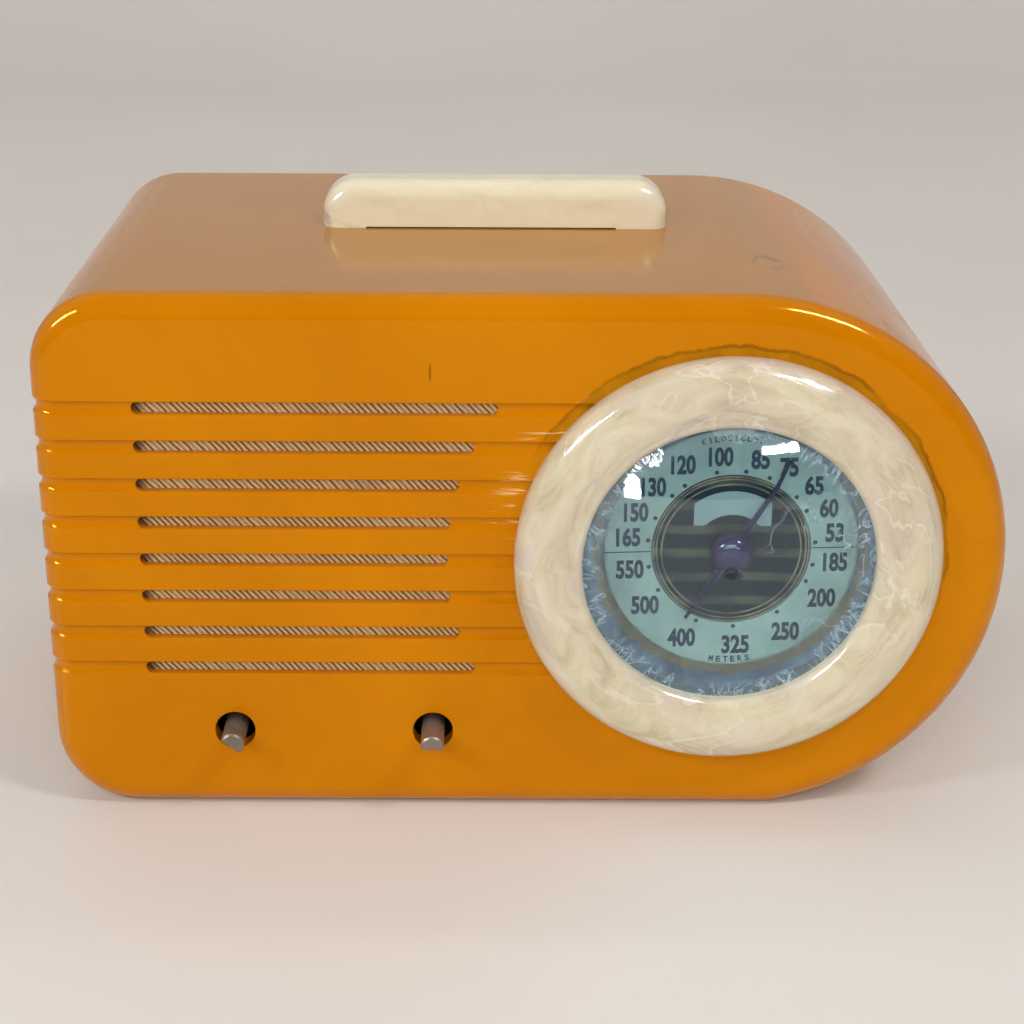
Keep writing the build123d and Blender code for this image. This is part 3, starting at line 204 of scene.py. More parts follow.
def cast_orange():
    """Deep orange cast resin: polished, slightly cloudy, with old lacquer left round the bezel."""
    g = Graph("cast_orange")
    cloud = g.noise(9, 5, 0.6, 1.2)
    colour = g.ramp(
        cloud, [(0.3, (0.52, 0.164, 0.0003)), (0.55, (0.57, 0.188, 0.0004)), (0.8, (0.615, 0.212, 0.0006))]
    )
    streak = g.noise(14, 6, 0.65, 2.5, g.stretch((0.6, 1.4, 2.0)))
    colour = g.mix(g.range(streak, 0.58, 0.75, 0, 0.22), colour, (0.43, 0.130, 0.0006))
    on_front = g.range(g.axis(1), front_face + 0.0006, front_face + 0.002, 1, 0)
    on_top = g.range(g.axis(2), cabinet_top - 0.004, cabinet_top - 0.001)
    # painted reflection: the top is painted paler and tan, as if the bright room reflects in it, from just behind the
    # rounded front edge
    tarnish_and_top_sheen = g.math("MULTIPLY", on_top, g.range(g.axis(1), front_face + 0.004, front_face + 0.0066, 0, 0.5))
    colour = g.mix(tarnish_and_top_sheen, colour, (0.27, 0.150, 0.040))
    # old lacquer in a thin ragged band round the top and right of the bezel
    distance, angle = g.disc_distance(bezel_centre), g.disc_angle(bezel_centre)
    reach = g.range(angle, 0.1, 1.3, 0.0588, 0.0603)
    ragged = g.math("ADD", distance, g.math("MULTIPLY", g.noise(70, 5, 0.65), 0.0050))
    past = g.math("SUBTRACT", g.math("SUBTRACT", ragged, reach), 0.0022)
    band = g.range(past, -0.0003, 0.0003, 1, 0)
    rim_line = g.range(g.math("ABSOLUTE", past), 0.0001, 0.0007, 1, 0)
    upper = g.math("MULTIPLY", g.range(angle, -0.30, 0.1), g.range(angle, 2.35, 2.75, 1, 0))
    upper = g.math("MULTIPLY", upper, on_front)
    lacquer = g.math("MULTIPLY", band, upper)
    film = g.ramp(g.noise(90, 4, 0.6), [(0.35, (0.34, 0.125, 0.0006)), (0.65, (0.46, 0.180, 0.001))])
    colour = g.mix(g.math("MULTIPLY", lacquer, 0.85), colour, film)
    worn = g.math("MULTIPLY", rim_line, g.range(g.noise(60, 3, 0.6), 0.40, 0.60, 0.1, 0.8))
    colour = g.mix(g.math("MULTIPLY", worn, upper), colour, (0.20, 0.070, 0.001))
    # pale rubbed scratches where the grooves meet the bezel
    rubbed = g.noise(160, 3, 0.7, 0.5, g.stretch((0.35, 1, 2.6), turn=(0, 0.35, 0)))
    near = g.math("MULTIPLY", g.range(distance, 0.058, 0.068, 1, 0), g.range(angle, 2.2, 2.6))
    near = g.math("MULTIPLY", near, on_front)
    colour = g.mix(g.math("MULTIPLY", g.range(rubbed, 0.57, 0.66), near), colour, (0.78, 0.52, 0.24))
    # two brown rings on the top and one short dark nick on the front
    for ring_x, ring_y, ring_radius in top_rings:
        warped = g.math("MULTIPLY", g.math("SUBTRACT", g.noise(150, 3, 0.7), 0.5), 0.010)
        across = g.math("SUBTRACT", g.axis(0), ring_x)
        along = g.math("MULTIPLY", g.math("SUBTRACT", g.axis(1), ring_y), 0.55)
        off = g.math("ADD", g.length(across, along), warped)
        stain = g.range(g.math("ABSOLUTE", g.math("SUBTRACT", off, ring_radius)), 0.0002, 0.0012, 0.6, 0)
        stain = g.math("MULTIPLY", stain, g.range(g.noise(260, 3, 0.6), 0.42, 0.58))
        colour = g.mix(g.math("MULTIPLY", stain, on_top), colour, (0.17, 0.065, 0.012))
    nick_across = g.math("ABSOLUTE", g.math("SUBTRACT", g.axis(0), nick_x))
    nick_up = g.math("ABSOLUTE", g.math("SUBTRACT", g.axis(2), nick_z))
    nick = g.math(
        "MULTIPLY", g.range(nick_across, 0.0001, 0.0004, 1, 0), g.range(nick_up, 0.0012, 0.0030, 1, 0)
    )
    colour = g.mix(g.math("MULTIPLY", nick, g.math("MULTIPLY", on_front, 0.75)), colour, (0.12, 0.035, 0.001))
    # the edge of the dial opening is painted dark
    inside = g.range(distance, 0.0409, 0.0413, 1, 0)
    behind = g.range(g.axis(1), front_face, front_face + 0.0004)
    colour = g.mix(g.math("MULTIPLY", inside, behind), colour, (0.045, 0.050, 0.060))
    rough = g.range(g.noise(22, 5, 0.65), 0.3, 0.75, 0.07, 0.18, smooth=False)
    rough = g.math("ADD", rough, g.math("MULTIPLY", lacquer, 0.14))
    scratches = g.noise(420, 2, 0.5, 0.0, g.stretch((0.12, 1, 1.4)))
    height = g.math("ADD", g.noise(26, 3, 0.5), g.math("MULTIPLY", scratches, 0.03))
    height = g.math("ADD", height, g.math("MULTIPLY", lacquer, 0.30))
    g.surface(
        Base_Color=colour, Roughness=rough, IOR=1.62, Specular_Tint=(0.85, 0.60, 0.10),
        Normal=g.bump(height, 0.20, 0.0006),
        Subsurface_Weight=0.08, Subsurface_Radius=(1.0, 0.35, 0.05), Subsurface_Scale=0.003,
    )
    return g.material


def cast_ivory(name, centre=None):
    """Cream cast resin, marbled with pinkish white clouds, pale contour lines and grey-violet veins."""
    g = Graph(name)
    if centre:  # the marbling runs round the ring
        distance, angle = g.disc_distance(centre), g.disc_angle(centre)
        join = g.tree.nodes.new("ShaderNodeCombineXYZ")
        g.set(join.inputs[0], g.math("MULTIPLY", angle, 0.024))
        g.set(join.inputs[1], distance)
        g.set(join.inputs[2], g.axis(1))
        flow = join.outputs[0]
        outer, inner = g.range(distance, 0.0500, 0.0560), g.range(distance, 0.0440, 0.0405, 0, 0.5)
        rim = g.math("MAXIMUM", outer, inner)
        vein_place, line_strength, whiten = 0.35, 0.50, 0.0
    else:
        flow = g.stretch((0.45, 1.2, 1.2))
        from_middle = g.math("ABSOLUTE", g.math("SUBTRACT", g.axis(0), handle_centre.x))
        rim = g.range(from_middle, 0.030, 0.048)
        vein_place, line_strength, whiten = g.math("MULTIPLY", rim, 0.9), 0.35, 0.5
    cloud = g.noise(95, 5, 0.62, 1.6, flow)
    colour = g.ramp(
        cloud,
        [
            (0.30, (0.48, 0.41, 0.27)), (0.44, (0.60, 0.53, 0.36)),
            (0.56, (0.66, 0.59, 0.42)), (0.72, (0.70, 0.64, 0.51)),
        ],
    )
    pink = g.range(g.noise(60, 4, 0.6, 1.0, flow), 0.42, 0.66)
    pink = g.math("MULTIPLY", pink, g.math("ADD", g.math("MULTIPLY", rim, 0.7), 0.3))
    colour = g.mix(g.math("MULTIPLY", pink, 0.75), colour, (0.60, 0.49, 0.46))
    # the edges of the marbled layers: a fine pale line, with a darker line beside it that is painted shadow, as if
    # cast by the raised edge
    layers = g.math("FRACT", g.math("MULTIPLY", g.noise(44, 3, 0.50, 1.4, flow), 6.0))
    pale = g.range(g.math("ABSOLUTE", g.math("SUBTRACT", layers, 0.50)), 0.03, 0.10, 1, 0)
    painted_ridge_shadow = g.range(g.math("ABSOLUTE", g.math("SUBTRACT", layers, 0.66)), 0.02, 0.09, 1, 0)
    patchy = g.range(g.noise(35, 3, 0.5, 0.0, flow), 0.38, 0.60, 0, line_strength)
    # painted shadow: the darker line beside each pale layer edge
    colour = g.mix(g.math("MULTIPLY", g.math("MULTIPLY", painted_ridge_shadow, patchy), 0.45), colour, (0.50, 0.41, 0.30))
    colour = g.mix(g.math("MULTIPLY", g.math("MULTIPLY", pale, patchy), 0.70), colour, (0.84, 0.79, 0.69))
    colour = g.mix(whiten, colour, (0.92, 0.86, 0.63))
    vein = g.range(g.noise(55, 5, 0.65, 2.2, flow), 0.60, 0.74)
    colour = g.mix(g.math("MULTIPLY", vein, vein_place), colour, (0.36, 0.29, 0.34))
    rough = g.range(g.noise(120, 4, 0.6), 0.3, 0.7, 0.08, 0.20, smooth=False)
    lumps = g.math("ADD", g.noise(30, 3, 0.5), g.math("MULTIPLY", g.math("MULTIPLY", pale, patchy), 0.15))
    g.surface(
        Base_Color=colour, Roughness=rough, IOR=1.55, Normal=g.bump(lumps, 0.35, 0.0009),
        Subsurface_Weight=0.15, Subsurface_Radius=(1.0, 0.7, 0.4), Subsurface_Scale=0.002,
        Coat_Weight=0.3, Coat_Roughness=0.04,
    )
    return g.material


def lens_plastic():
    """Old clear plastic: bluish, crazed and puckered close to its rim, with a few hair scratches."""
    g = Graph("lens")
    distance, angle = g.disc_distance(lens_centre), g.disc_angle(lens_centre)
    rim = g.range(distance, 0.0325, 0.0385)
    join = g.tree.nodes.new("ShaderNodeCombineXYZ")
    g.set(join.inputs[0], g.math("MULTIPLY", angle, 0.05))
    g.set(join.inputs[1], g.math("MULTIPLY", distance, 0.55))
    radial = join.outputs[0]
    craze = g.math("MULTIPLY", g.range(g.cells(210, vector=radial), 0.0, 0.03, 1, 0), rim)
    patchy = g.range(g.noise(30, 3, 0.5, 0.0, radial), 0.45, 0.60)
    craze = g.math("MULTIPLY", craze, patchy)
    margin = g.range(distance, 0.0335, 0.0358)
    ridges = g.math("ABSOLUTE", g.math("SUBTRACT", g.noise(120, 4, 0.6, 1.0, radial), 0.5))
    crinkles = g.math("MULTIPLY", g.range(ridges, 0.0, 0.022, 1, 0), margin)
    bent = g.noise(45, 2, 0.5, colour=True)
    hair_place = g.mix(0.06, g.place, bent)
    hairs = g.range(g.cells(24, vector=hair_place), 0.0, 0.0022, 0.6, 0)
    hairs = g.math("MULTIPLY", hairs, g.range(g.noise(22, 2, 0.5), 0.50, 0.58))
    pucker = g.math("MULTIPLY", g.noise(150, 4, 0.6, 0.0, radial), g.math("MULTIPLY", rim, patchy))
    height = g.math("ADD", g.noise(18, 2, 0.4), g.math("MULTIPLY", pucker, 2.0))
    rough = g.math("ADD", g.math("MULTIPLY", craze, 0.2), 0.01)
    glass = g.surface(
        Base_Color=(0.70, 0.85, 0.91), Roughness=rough, IOR=1.49, Specular_IOR_Level=0.28,
        Transmission_Weight=1.0, Normal=g.bump(height, 0.25, 0.0004),
    )
    haze = g.tree.nodes.new("ShaderNodeBsdfDiffuse")
    haze.inputs["Color"].default_value = (0.42, 0.52, 0.60, 1)
    clear = g.tree.nodes.new("ShaderNodeBsdfTransparent")
    clear.inputs["Color"].default_value = (0.80, 0.90, 0.94, 1)
    veil = g.math("ADD", g.math("MULTIPLY", craze, 0.6), g.math("ADD", hairs, g.math("MULTIPLY", rim, 0.12)))
    veil = g.math("ADD", veil, g.math("MULTIPLY", crinkles, 0.45), clamp=True)
    cloudy = g.blend(veil, glass, haze)
    path = g.tree.nodes.new("ShaderNodeLightPath")
    g.blend(path.outputs["Is Shadow Ray"], cloudy, clear)
    return g.material


def printed_scale():
    """The pale printed ring of the dial, yellowed and a little stained."""
    g = Graph("scale")
    stain = g.noise(60, 5, 0.6, 0.8)
    colour = g.ramp(stain, [(0.3, (0.18, 0.21, 0.18)), (0.55, (0.23, 0.26, 0.22)), (0.8, (0.28, 0.31, 0.26))])
    distance = g.disc_distance(dial_centre)
    edge = g.math("ADD", distance, g.math("MULTIPLY", g.noise(180, 4, 0.7), 0.003))
    colour = g.mix(g.range(edge, 0.0352, 0.0362, 0, 0.7), colour, (0.16, 0.14, 0.10))
    grain = g.noise(900, 2, 0.5)
    rough = g.range(stain, 0.2, 0.8, 0.45, 0.65)
    g.surface(Base_Color=colour, Roughness=rough, Normal=g.bump(grain, 0.1, 0.0001))
    return g.material


def engine_turned():
    """Dark metal with bands of fine slanting bronze cuts, three bronze rings and a blank pale plaque."""
    g = Graph("engine_turned")
    distance = g.disc_distance(dial_centre)
    hatch = g.range(g.wave(540, 0, 0, g.stretch(turn=(0, -0.6, 0)), along="X"), 0.55, 0.85)
    rows = g.range(g.wave(45, 0.6, 1, along="Z"), 0.62, 0.82)
    fine = g.wave(620, 0, 0, along="Z")
    tarnish = g.noise(70, 4, 0.6)
    cut = g.math("MULTIPLY", g.math("MULTIPLY", hatch, rows), g.range(tarnish, 0.35, 0.60, 1, 0.35))
    colour = g.mix(g.math("MULTIPLY", fine, 0.25), (0.008, 0.014, 0.022), (0.024, 0.032, 0.038))
    colour = g.mix(cut, colour, (0.24, 0.20, 0.11))
    for ring in (0.0212, 0.0204, 0.0190):
        line = g.range(g.math("ABSOLUTE", g.math("SUBTRACT", distance, ring)), 0.00010, 0.00030, 1, 0)
        line = g.math("MULTIPLY", line, g.range(tarnish, 0.35, 0.62, 0.9, 0.25))
        colour = g.mix(line, colour, (0.36, 0.29, 0.17))
    front = box_of("dial_centre")[0].y
    up = g.math("SUBTRACT", g.axis(2), dial_centre.z)
    across = g.math("ABSOLUTE", g.math("SUBTRACT", g.axis(0), dial_centre.x))
    plaque = g.range(g.axis(1), front + 0.00004, front + 0.00008, 1, 0)
    for side, value, limit in (
        ("LESS_THAN", distance, 0.0175), ("GREATER_THAN", up, 0.002), ("LESS_THAN", across, 0.0112),
    ):
        plaque = g.math("MULTIPLY", plaque, g.math(side, value, limit))
    colour = g.mix(plaque, colour, g.mix(tarnish, (0.15, 0.18, 0.17), (0.22, 0.25, 0.23)))
    height = g.math("ADD", cut, g.math("MULTIPLY", fine, 0.3))
    rough = g.range(tarnish, 0.3, 0.8, 0.35, 0.55)
    metal = g.math("MULTIPLY", g.math("SUBTRACT", 1.0, plaque), 0.55)
    g.surface(Base_Color=colour, Roughness=rough, Metallic=metal, Normal=g.bump(height, 0.35, 0.0002))
    return g.material


def dial_margin():
    """Blue-grey paint behind the dial, with a ring of brown stains where the printed scale ends."""
    g = Graph("dial_margin")
    distance = g.disc_distance(dial_centre)
    mottle = g.noise(90, 5, 0.65, 0.8)
    colour = g.ramp(mottle, [(0.35, (0.055, 0.070, 0.095)), (0.55, (0.11, 0.14, 0.18)), (0.75, (0.20, 0.24, 0.28))])
    wander = g.math("SUBTRACT", g.noise(130, 4, 0.7), 0.5)
    ragged = g.math("ADD", distance, g.math("MULTIPLY", wander, 0.006))
    stain = g.range(g.math("ABSOLUTE", g.math("SUBTRACT", ragged, 0.0366)), 0.0007, 0.0020, 0.9, 0)
    colour = g.mix(stain, colour, g.mix(mottle, (0.09, 0.055, 0.03), (0.26, 0.17, 0.09)))
    rough = g.range(mottle, 0.3, 0.8, 0.35, 0.6)
    g.surface(Base_Color=colour, Roughness=rough, Normal=g.bump(mottle, 0.4, 0.0004))
    return g.material


def grille_twill():
    """Brown grille cloth with brighter cream threads that run across it on the slant."""
    g = Graph("grille_twill")
    slant = g.stretch((1, 1, 1), turn=(0, math.radians(42), 0))
    threads = g.wave(250, 1.2, 1, slant, along="X")
    cross = g.wave(620, 0.8, 1, slant, along="Z")
    wide = g.wave(120, 2.0, 2, slant, along="X")
    colour = g.ramp(threads, [(0.10, (0.26, 0.105, 0.020)), (0.42, (0.68, 0.38, 0.12)), (0.80, (0.98, 0.78, 0.42))])
    colour = g.mix(g.math("MULTIPLY", g.range(wide, 0.75, 0.95), 0.5), colour, (0.88, 0.74, 0.48))
    colour = g.mix(g.math("MULTIPLY", cross, 0.25), colour, (0.20, 0.11, 0.05))
    colour = g.mix(g.range(g.noise(45, 4, 0.6), 0.45, 0.8, 0, 0.3), colour, (0.20, 0.12, 0.06))
    height = g.math("ADD", threads, g.math("MULTIPLY", cross, 0.6))
    # painted shade: the cloth is darkened towards the left end of each open slot, where the slot's wall shades it
    painted_slot_end_shade = g.range(g.axis(0), slot_left + 0.0006, slot_left + 0.0042, 0.85, 0)
    colour = g.mix(painted_slot_end_shade, colour, (0.07, 0.025, 0.008))
    g.surface(Base_Color=colour, Roughness=0.72, Normal=g.bump(height, 0.9, 0.0004))
    return g.material


def metal(name, colour, rough, brushed=(1, 1, 1), tarnish=0.3, metallic=1.0):
    """Plated or bare metal with fine working marks and dull patches."""
    g = Graph(name)
    patches = g.noise(70, 5, 0.65)
    tarnish_and_top_sheen = tuple(channel * 0.45 for channel in colour)
    tint = g.mix(g.range(patches, 0.42, 0.75, 0, tarnish), colour, tarnish_and_top_sheen)
    marks = g.noise(500, 3, 0.6, 0, g.stretch(brushed))
    spread = g.math("ADD", g.math("MULTIPLY", patches, 0.25), g.math("MULTIPLY", marks, 0.12))
    roughness = g.math("ADD", spread, rough - 0.15)
    g.surface(Base_Color=tint, Roughness=roughness, Metallic=metallic, Normal=g.bump(marks, 0.12, 0.0002))
    return g.material


def painted(name, colour, rough, speckle=0.25, other=None, bump=0.15, scale=80, **extra):
    """Paint, moulding, paper or board: a soft mottle, a fine grain and uneven gloss."""
    g = Graph(name)
    mottle = g.noise(scale, 5, 0.6)
    other = other or tuple(channel * 0.5 for channel in colour)
    tint = g.mix(g.range(mottle, 0.4, 0.75, 0, speckle), colour, other)
    grain = g.noise(scale * 9, 3, 0.6)
    tint = g.mix(g.math("MULTIPLY", grain, 0.18), tint, other)
    roughness = g.range(mottle, 0.3, 0.75, rough - 0.08, rough + 0.08, smooth=False)
    g.surface(Base_Color=tint, Roughness=roughness, Normal=g.bump(grain, bump, 0.0003), **extra)
    return g.material


def fibreboard():
    """Pressed brown board with long fibres and a faint sheen from wax."""
    g = Graph("fibreboard")
    fibres = g.noise(70, 6, 0.7, 0.4, g.stretch((0.5, 1, 3.5)))
    colour = g.ramp(fibres, [(0.3, (0.075, 0.040, 0.020)), (0.55, (0.15, 0.085, 0.042)), (0.8, (0.24, 0.145, 0.075))])
    flecks = g.range(g.noise(650, 3, 0.7, 0, g.stretch((0.4, 1, 1))), 0.62, 0.72)
    colour = g.mix(g.math("MULTIPLY", flecks, 0.5), colour, (0.30, 0.20, 0.11))
    weave = g.math("MULTIPLY", g.wave(330, 0.5, 1, along="X"), g.wave(330, 0.5, 1, along="Z"))
    height = g.math("ADD", fibres, g.math("MULTIPLY", weave, 0.5))
    rough = g.range(fibres, 0.3, 0.8, 0.5, 0.72)
    g.surface(Base_Color=colour, Roughness=rough, Normal=g.bump(height, 0.4, 0.0005))
    return g.material


def clear_glass(name, tint, silver_from=None):
    """Clear glass, silvered inside above a height if one is given."""
    g = Graph(name)
    smudge = g.noise(90, 4, 0.6)
    rough = g.range(smudge, 0.4, 0.8, 0.01, 0.09)
    bump = g.bump(smudge, 0.05, 0.0003)
    glass = g.surface(Base_Color=tint, Roughness=rough, IOR=1.47, Transmission_Weight=1.0, Normal=bump)
    if silver_from:
        mirror = g.tree.nodes.new("ShaderNodeBsdfPrincipled")
        mirror.inputs["Base Color"].default_value = (0.25, 0.25, 0.25, 1)
        mirror.inputs["Metallic"].default_value = 0.9
        mirror.inputs["Roughness"].default_value = 0.12
        ragged = g.math("ADD", g.axis(2), g.math("MULTIPLY", smudge, 0.004))
        g.blend(g.range(ragged, silver_from, silver_from + 0.002), glass, mirror)
    return g.material


def cone_paper():
    """Grey-black pulp paper with rings pressed in it."""
    g = Graph("cone_paper")
    centre = middle("speaker_cone")
    pulp = g.noise(240, 4, 0.7)
    colour = g.ramp(pulp, [(0.35, (0.035, 0.032, 0.03)), (0.7, (0.10, 0.092, 0.082))])
    ring = g.wave(160, 0, 0, kind="RINGS", along="Y", vector=g.stretch(shift=(-centre.x, 0, -centre.z)))
    height = g.math("ADD", pulp, g.math("MULTIPLY", ring, 0.6))
    g.surface(Base_Color=colour, Roughness=0.85, Normal=g.bump(height, 0.35, 0.0005))
    return g.material


orange = cast_orange()
bezel_ivory = cast_ivory("bezel_ivory", bezel_centre)
handle_ivory = cast_ivory("handle_ivory")
steel = metal("plated_steel", (0.42, 0.40, 0.37), 0.34, (1, 0.3, 1), 0.5)
shaft_steel = metal("shaft_steel", (0.27, 0.22, 0.18), 0.42, (3, 0.2, 3), 1.0, 0.6)
sheet_steel = metal("chassis_steel", (0.50, 0.49, 0.45), 0.40, (0.3, 1, 1), 0.45)
aluminium = metal("aluminium", (0.72, 0.72, 0.71), 0.34, (1, 1, 0.2), 0.25)
brass = metal("brass", (0.55, 0.40, 0.16), 0.32, (1, 1, 1), 0.5)
iron = painted("black_iron", (0.045, 0.045, 0.042), 0.45, 0.5, (0.10, 0.08, 0.06))
laminations = metal("laminations", (0.20, 0.19, 0.18), 0.45, (1, 14, 1), 0.6)
moulding = painted("brown_moulding", (0.045, 0.026, 0.018), 0.28, 0.4, (0.02, 0.012, 0.01))
rubber = painted("rubber", (0.018, 0.017, 0.016), 0.62, 0.5, (0.05, 0.045, 0.04))
board = fibreboard()
paper = cone_paper()
felt = painted("felt", (0.05, 0.045, 0.04), 0.9, 0.6, (0.11, 0.09, 0.07), 0.5, 200)
wax = painted("waxed_paper", (0.50, 0.36, 0.16), 0.35, 0.5, (0.28, 0.17, 0.06), 0.25, 120)
cord_cloth = painted("cord_cloth", (0.20, 0.13, 0.07), 0.8, 0.5, (0.08, 0.05, 0.03), 0.6, 700)
pointer_paint = painted("pointer_paint", (0.012, 0.014, 0.05), 0.25, 0.4, (0.05, 0.01, 0.03), 0.1, 200)
hub_paint = painted("hub_paint", (0.010, 0.006, 0.042), 0.12, 0.3, (0.045, 0.004, 0.022), 0.0, 60, Coat_Weight=1.0)
print_ink = painted("print_ink", (0.006, 0.014, 0.030), 0.5, 0.3, (0.03, 0.03, 0.05), 0.1, 300)
lens_clear = lens_plastic()
twill = grille_twill()
tube_top = box_of("tube_bulbs")[1].z

finishes = {
    "cabinet": orange, "dial_bezel": bezel_ivory, "handle": handle_ivory, "dial_lens": lens_clear,
    "grille_cloth": twill, "speaker_baffle": board, "back_cover": board, "loop_antenna": board, "tag_board": board,
    "dial_scale": printed_scale(), "dial_centre": engine_turned(), "dial_back_plate": dial_margin(),
    "dial_pointer": pointer_paint, "pointer_hub": hub_paint,
    "dial_lamp_bulb": clear_glass("lamp_glass", (0.9, 0.92, 0.9)),
    "tube_bulbs": clear_glass("tube_glass", (0.93, 0.95, 0.94), tube_top - 0.014),
    "tube_bases": moulding, "tube_sockets": moulding, "condenser_insulators": moulding,
    "resistors": painted("resistor", (0.20, 0.09, 0.04), 0.4), "wax_capacitors": wax, "transformer_coil": wax,
    "tube_electrodes": iron, "speaker_magnet": iron, "transformer_core": laminations,
    "speaker_cone": paper, "speaker_dust_cap": felt, "speaker_surround": felt, "speaker_spider": wax,
    "speaker_voice_coil": painted("coil_wire", (0.32, 0.12, 0.03), 0.35),
    "cord_grommet": rubber, "dial_cord": cord_cloth, "dial_cord_tails": cord_cloth,
    "if_cans": aluminium, "filter_capacitor": aluminium, "condenser_rotor": aluminium,
    "condenser_stator": aluminium, "dial_drum": aluminium,
    "tuning_bushing": brass, "volume_bushing": brass, "volume_wiper": brass, "control_nuts": brass,
    "tuning_shaft": shaft_steel, "volume_shaft": shaft_steel,
    "chassis": sheet_steel, "condenser_frame": sheet_steel, "dial_bracket": sheet_steel,
    "speaker_basket": sheet_steel, "volume_case": sheet_steel, "power_switch": sheet_steel,
    "dial_lamp_socket": sheet_steel,
}
for name, node in nodes.items():
    node.data.materials.clear()
    node.data.materials.append(finishes.get(name, steel))


# ------------------------------------------------------------------ dial print
def add_mesh(name, verts, faces, material, body):
    mesh = bpy.data.meshes.new(name)
    mesh.from_pydata([tuple(v) for v in verts], [], faces)
    mesh.update()
    mesh.materials.append(material)
    piece = bpy.data.objects.new(name, mesh)
    bpy.context.scene.collection.objects.link(piece)
    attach(piece, body)
    return piece


def lettering(text, thicken):
    """The flat mesh of a word as (points, faces), its box moved to the origin and scaled to 1 x 1."""
    curve = bpy.data.curves.new("word", "FONT")
    curve.body = text
    curve.offset = thicken
    curve.resolution_u = 4
    word = bpy.data.objects.new("word", curve)
    bpy.context.scene.collection.objects.link(word)
    depsgraph = bpy.context.evaluated_depsgraph_get()
    mesh = bpy.data.meshes.new_from_object(word.evaluated_get(depsgraph))
    points = [Vector((v.co.x, v.co.y)) for v in mesh.vertices]
    faces = [tuple(p.vertices) for p in mesh.polygons]
    bpy.data.objects.remove(word)
    low = Vector((min(p.x for p in points), min(p.y for p in points)))
    high = Vector((max(p.x for p in points), max(p.y for p in points)))
    size = high - low
    mid = (low + high) / 2
    return [Vector(((p.x - mid.x) / size.x, (p.y - mid.y) / size.y)) for p in points], faces


dial_tilt = math.radians(1.7)
print_y = box_of("dial_scale")[0].y - 0.00006
dot_radius, dot_size = 22.9 * MM, 0.62 * MM
figure_high, figure_wide, one_wide = 5.6 * MM, 2.62 * MM, 1.6 * MM
figure_weight, letter_weight = 0.040, 0.03  # how far the strokes are thickened
figure_gap, dot_sides = 0.2 * MM, 20
line_inner, line_outer, line_half = 21.9 * MM, 34.5 * MM, 0.16 * MM
letter_high, letter_wide, narrow_letter = 1.8 * MM, 1.25 * MM, 0.45 * MM
# each word: its letters, its radius, whether it runs along the dial's foot, and the letters' spacing
words = [("KILOCYCLES", 32.3 * MM, False, 1.75 * MM), ("METERS", 32.9 * MM, True, 2.0 * MM)]
# each mark: text, radius (mm) and angle of its figures, angle of its dot; degrees clockwise from straight up
marks = [
    ("165", 28.4, -82.8, -83.4), ("150", 28.4, -67.6, -66.5), ("130", 28.3, -50.1, -46.8),
    ("120", 28.3, -29.7, -35.8), ("100", 27.2, -8.5, -12.4), ("85", 27.0, 14.2, 7.4),
    ("75", 28.0, 31.1, 24.1), ("65", 28.6, 48.7, 47.7), ("60", 28.7, 64.5, 59.9),
    ("53", 28.4, 79.5, 84.3), ("550", 28.1, 257.7, 256.9), ("500", 28.3, 234.1, 238.2),
    ("400", 29.2, 205.4, 202.3), ("325", 28.5, 174.9, 176.0), ("250", 29.2, 146.4, 143.7),
    ("200", 29.2, 119.0, 113.8), ("185", 28.8, 96.9, 100.9),
]


def dial_point(angle, radius, across=0.0, up=0.0):
    """A point of the print, given by an angle clockwise from straight up and a small offset."""
    x = dial_centre.x + radius * math.sin(angle) + across * math.cos(dial_tilt) - up * math.sin(dial_tilt)
    z = dial_centre.z + radius * math.cos(angle) + across * math.sin(dial_tilt) + up * math.cos(dial_tilt)
    return Vector((x, print_y, z))


def dial_print():
    """Figures, dots, the two dividing lines and the small curved words, as one thin mesh."""
    verts, faces = [], []

    def add(points, polygons):
        start = len(verts)
        verts.extend(points)
        faces.extend(tuple(start + i for i in polygon) for polygon in polygons)

    for text, radius, turn, dot_turn in marks:
        points, polygons = lettering(text, figure_weight)
        wide = sum(one_wide if figure == "1" else figure_wide for figure in text) - figure_gap
        angle = math.radians(turn)
        add([dial_point(angle, radius * MM, p.x * wide, p.y * figure_high) for p in points], polygons)
        dot = [
            dial_point(math.radians(dot_turn), dot_radius, dot_size * math.cos(a), dot_size * math.sin(a))
            for a in (2 * math.pi * i / dot_sides for i in range(dot_sides))
        ]
        add(dot, [tuple(range(dot_sides))])
    for side in (-1, 1):
        inner, outer = line_inner * side, line_outer * side
        corners = [(inner, -line_half), (outer, -line_half), (outer, line_half), (inner, line_half)]
        add([dial_point(0, 0, across, up) for across, up in corners], [(0, 1, 2, 3)])
    for word, radius, below, pitch in words:
        upright = -1 if below else 1
        for index, letter in enumerate(word):
            points, polygons = lettering(letter, letter_weight)
            turn = (index - (len(word) - 1) / 2) * pitch / radius
            middle_angle = math.pi - turn if below else turn
            wide = narrow_letter if letter == "I" else letter_wide
            placed = []
            for p in points:
                angle = middle_angle + upright * p.x * wide / radius
                placed.append(dial_point(angle - dial_tilt, radius + upright * p.y * letter_high))
            add(placed, polygons)
    return add_mesh("dial_print", verts, faces, print_ink, "cabinet_body")


dial_print()


# ------------------------------------------------------------------ floor, light and camera
def floor_material():
    """Plain pale paint with a very faint cloud."""
    g = Graph("floor")
    colour = g.ramp(g.noise(3, 4, 0.5), [(0.3, (0.70, 0.67, 0.64)), (0.7, (0.75, 0.72, 0.69))])
    g.surface(Base_Color=colour, Roughness=0.45)
    return g.material


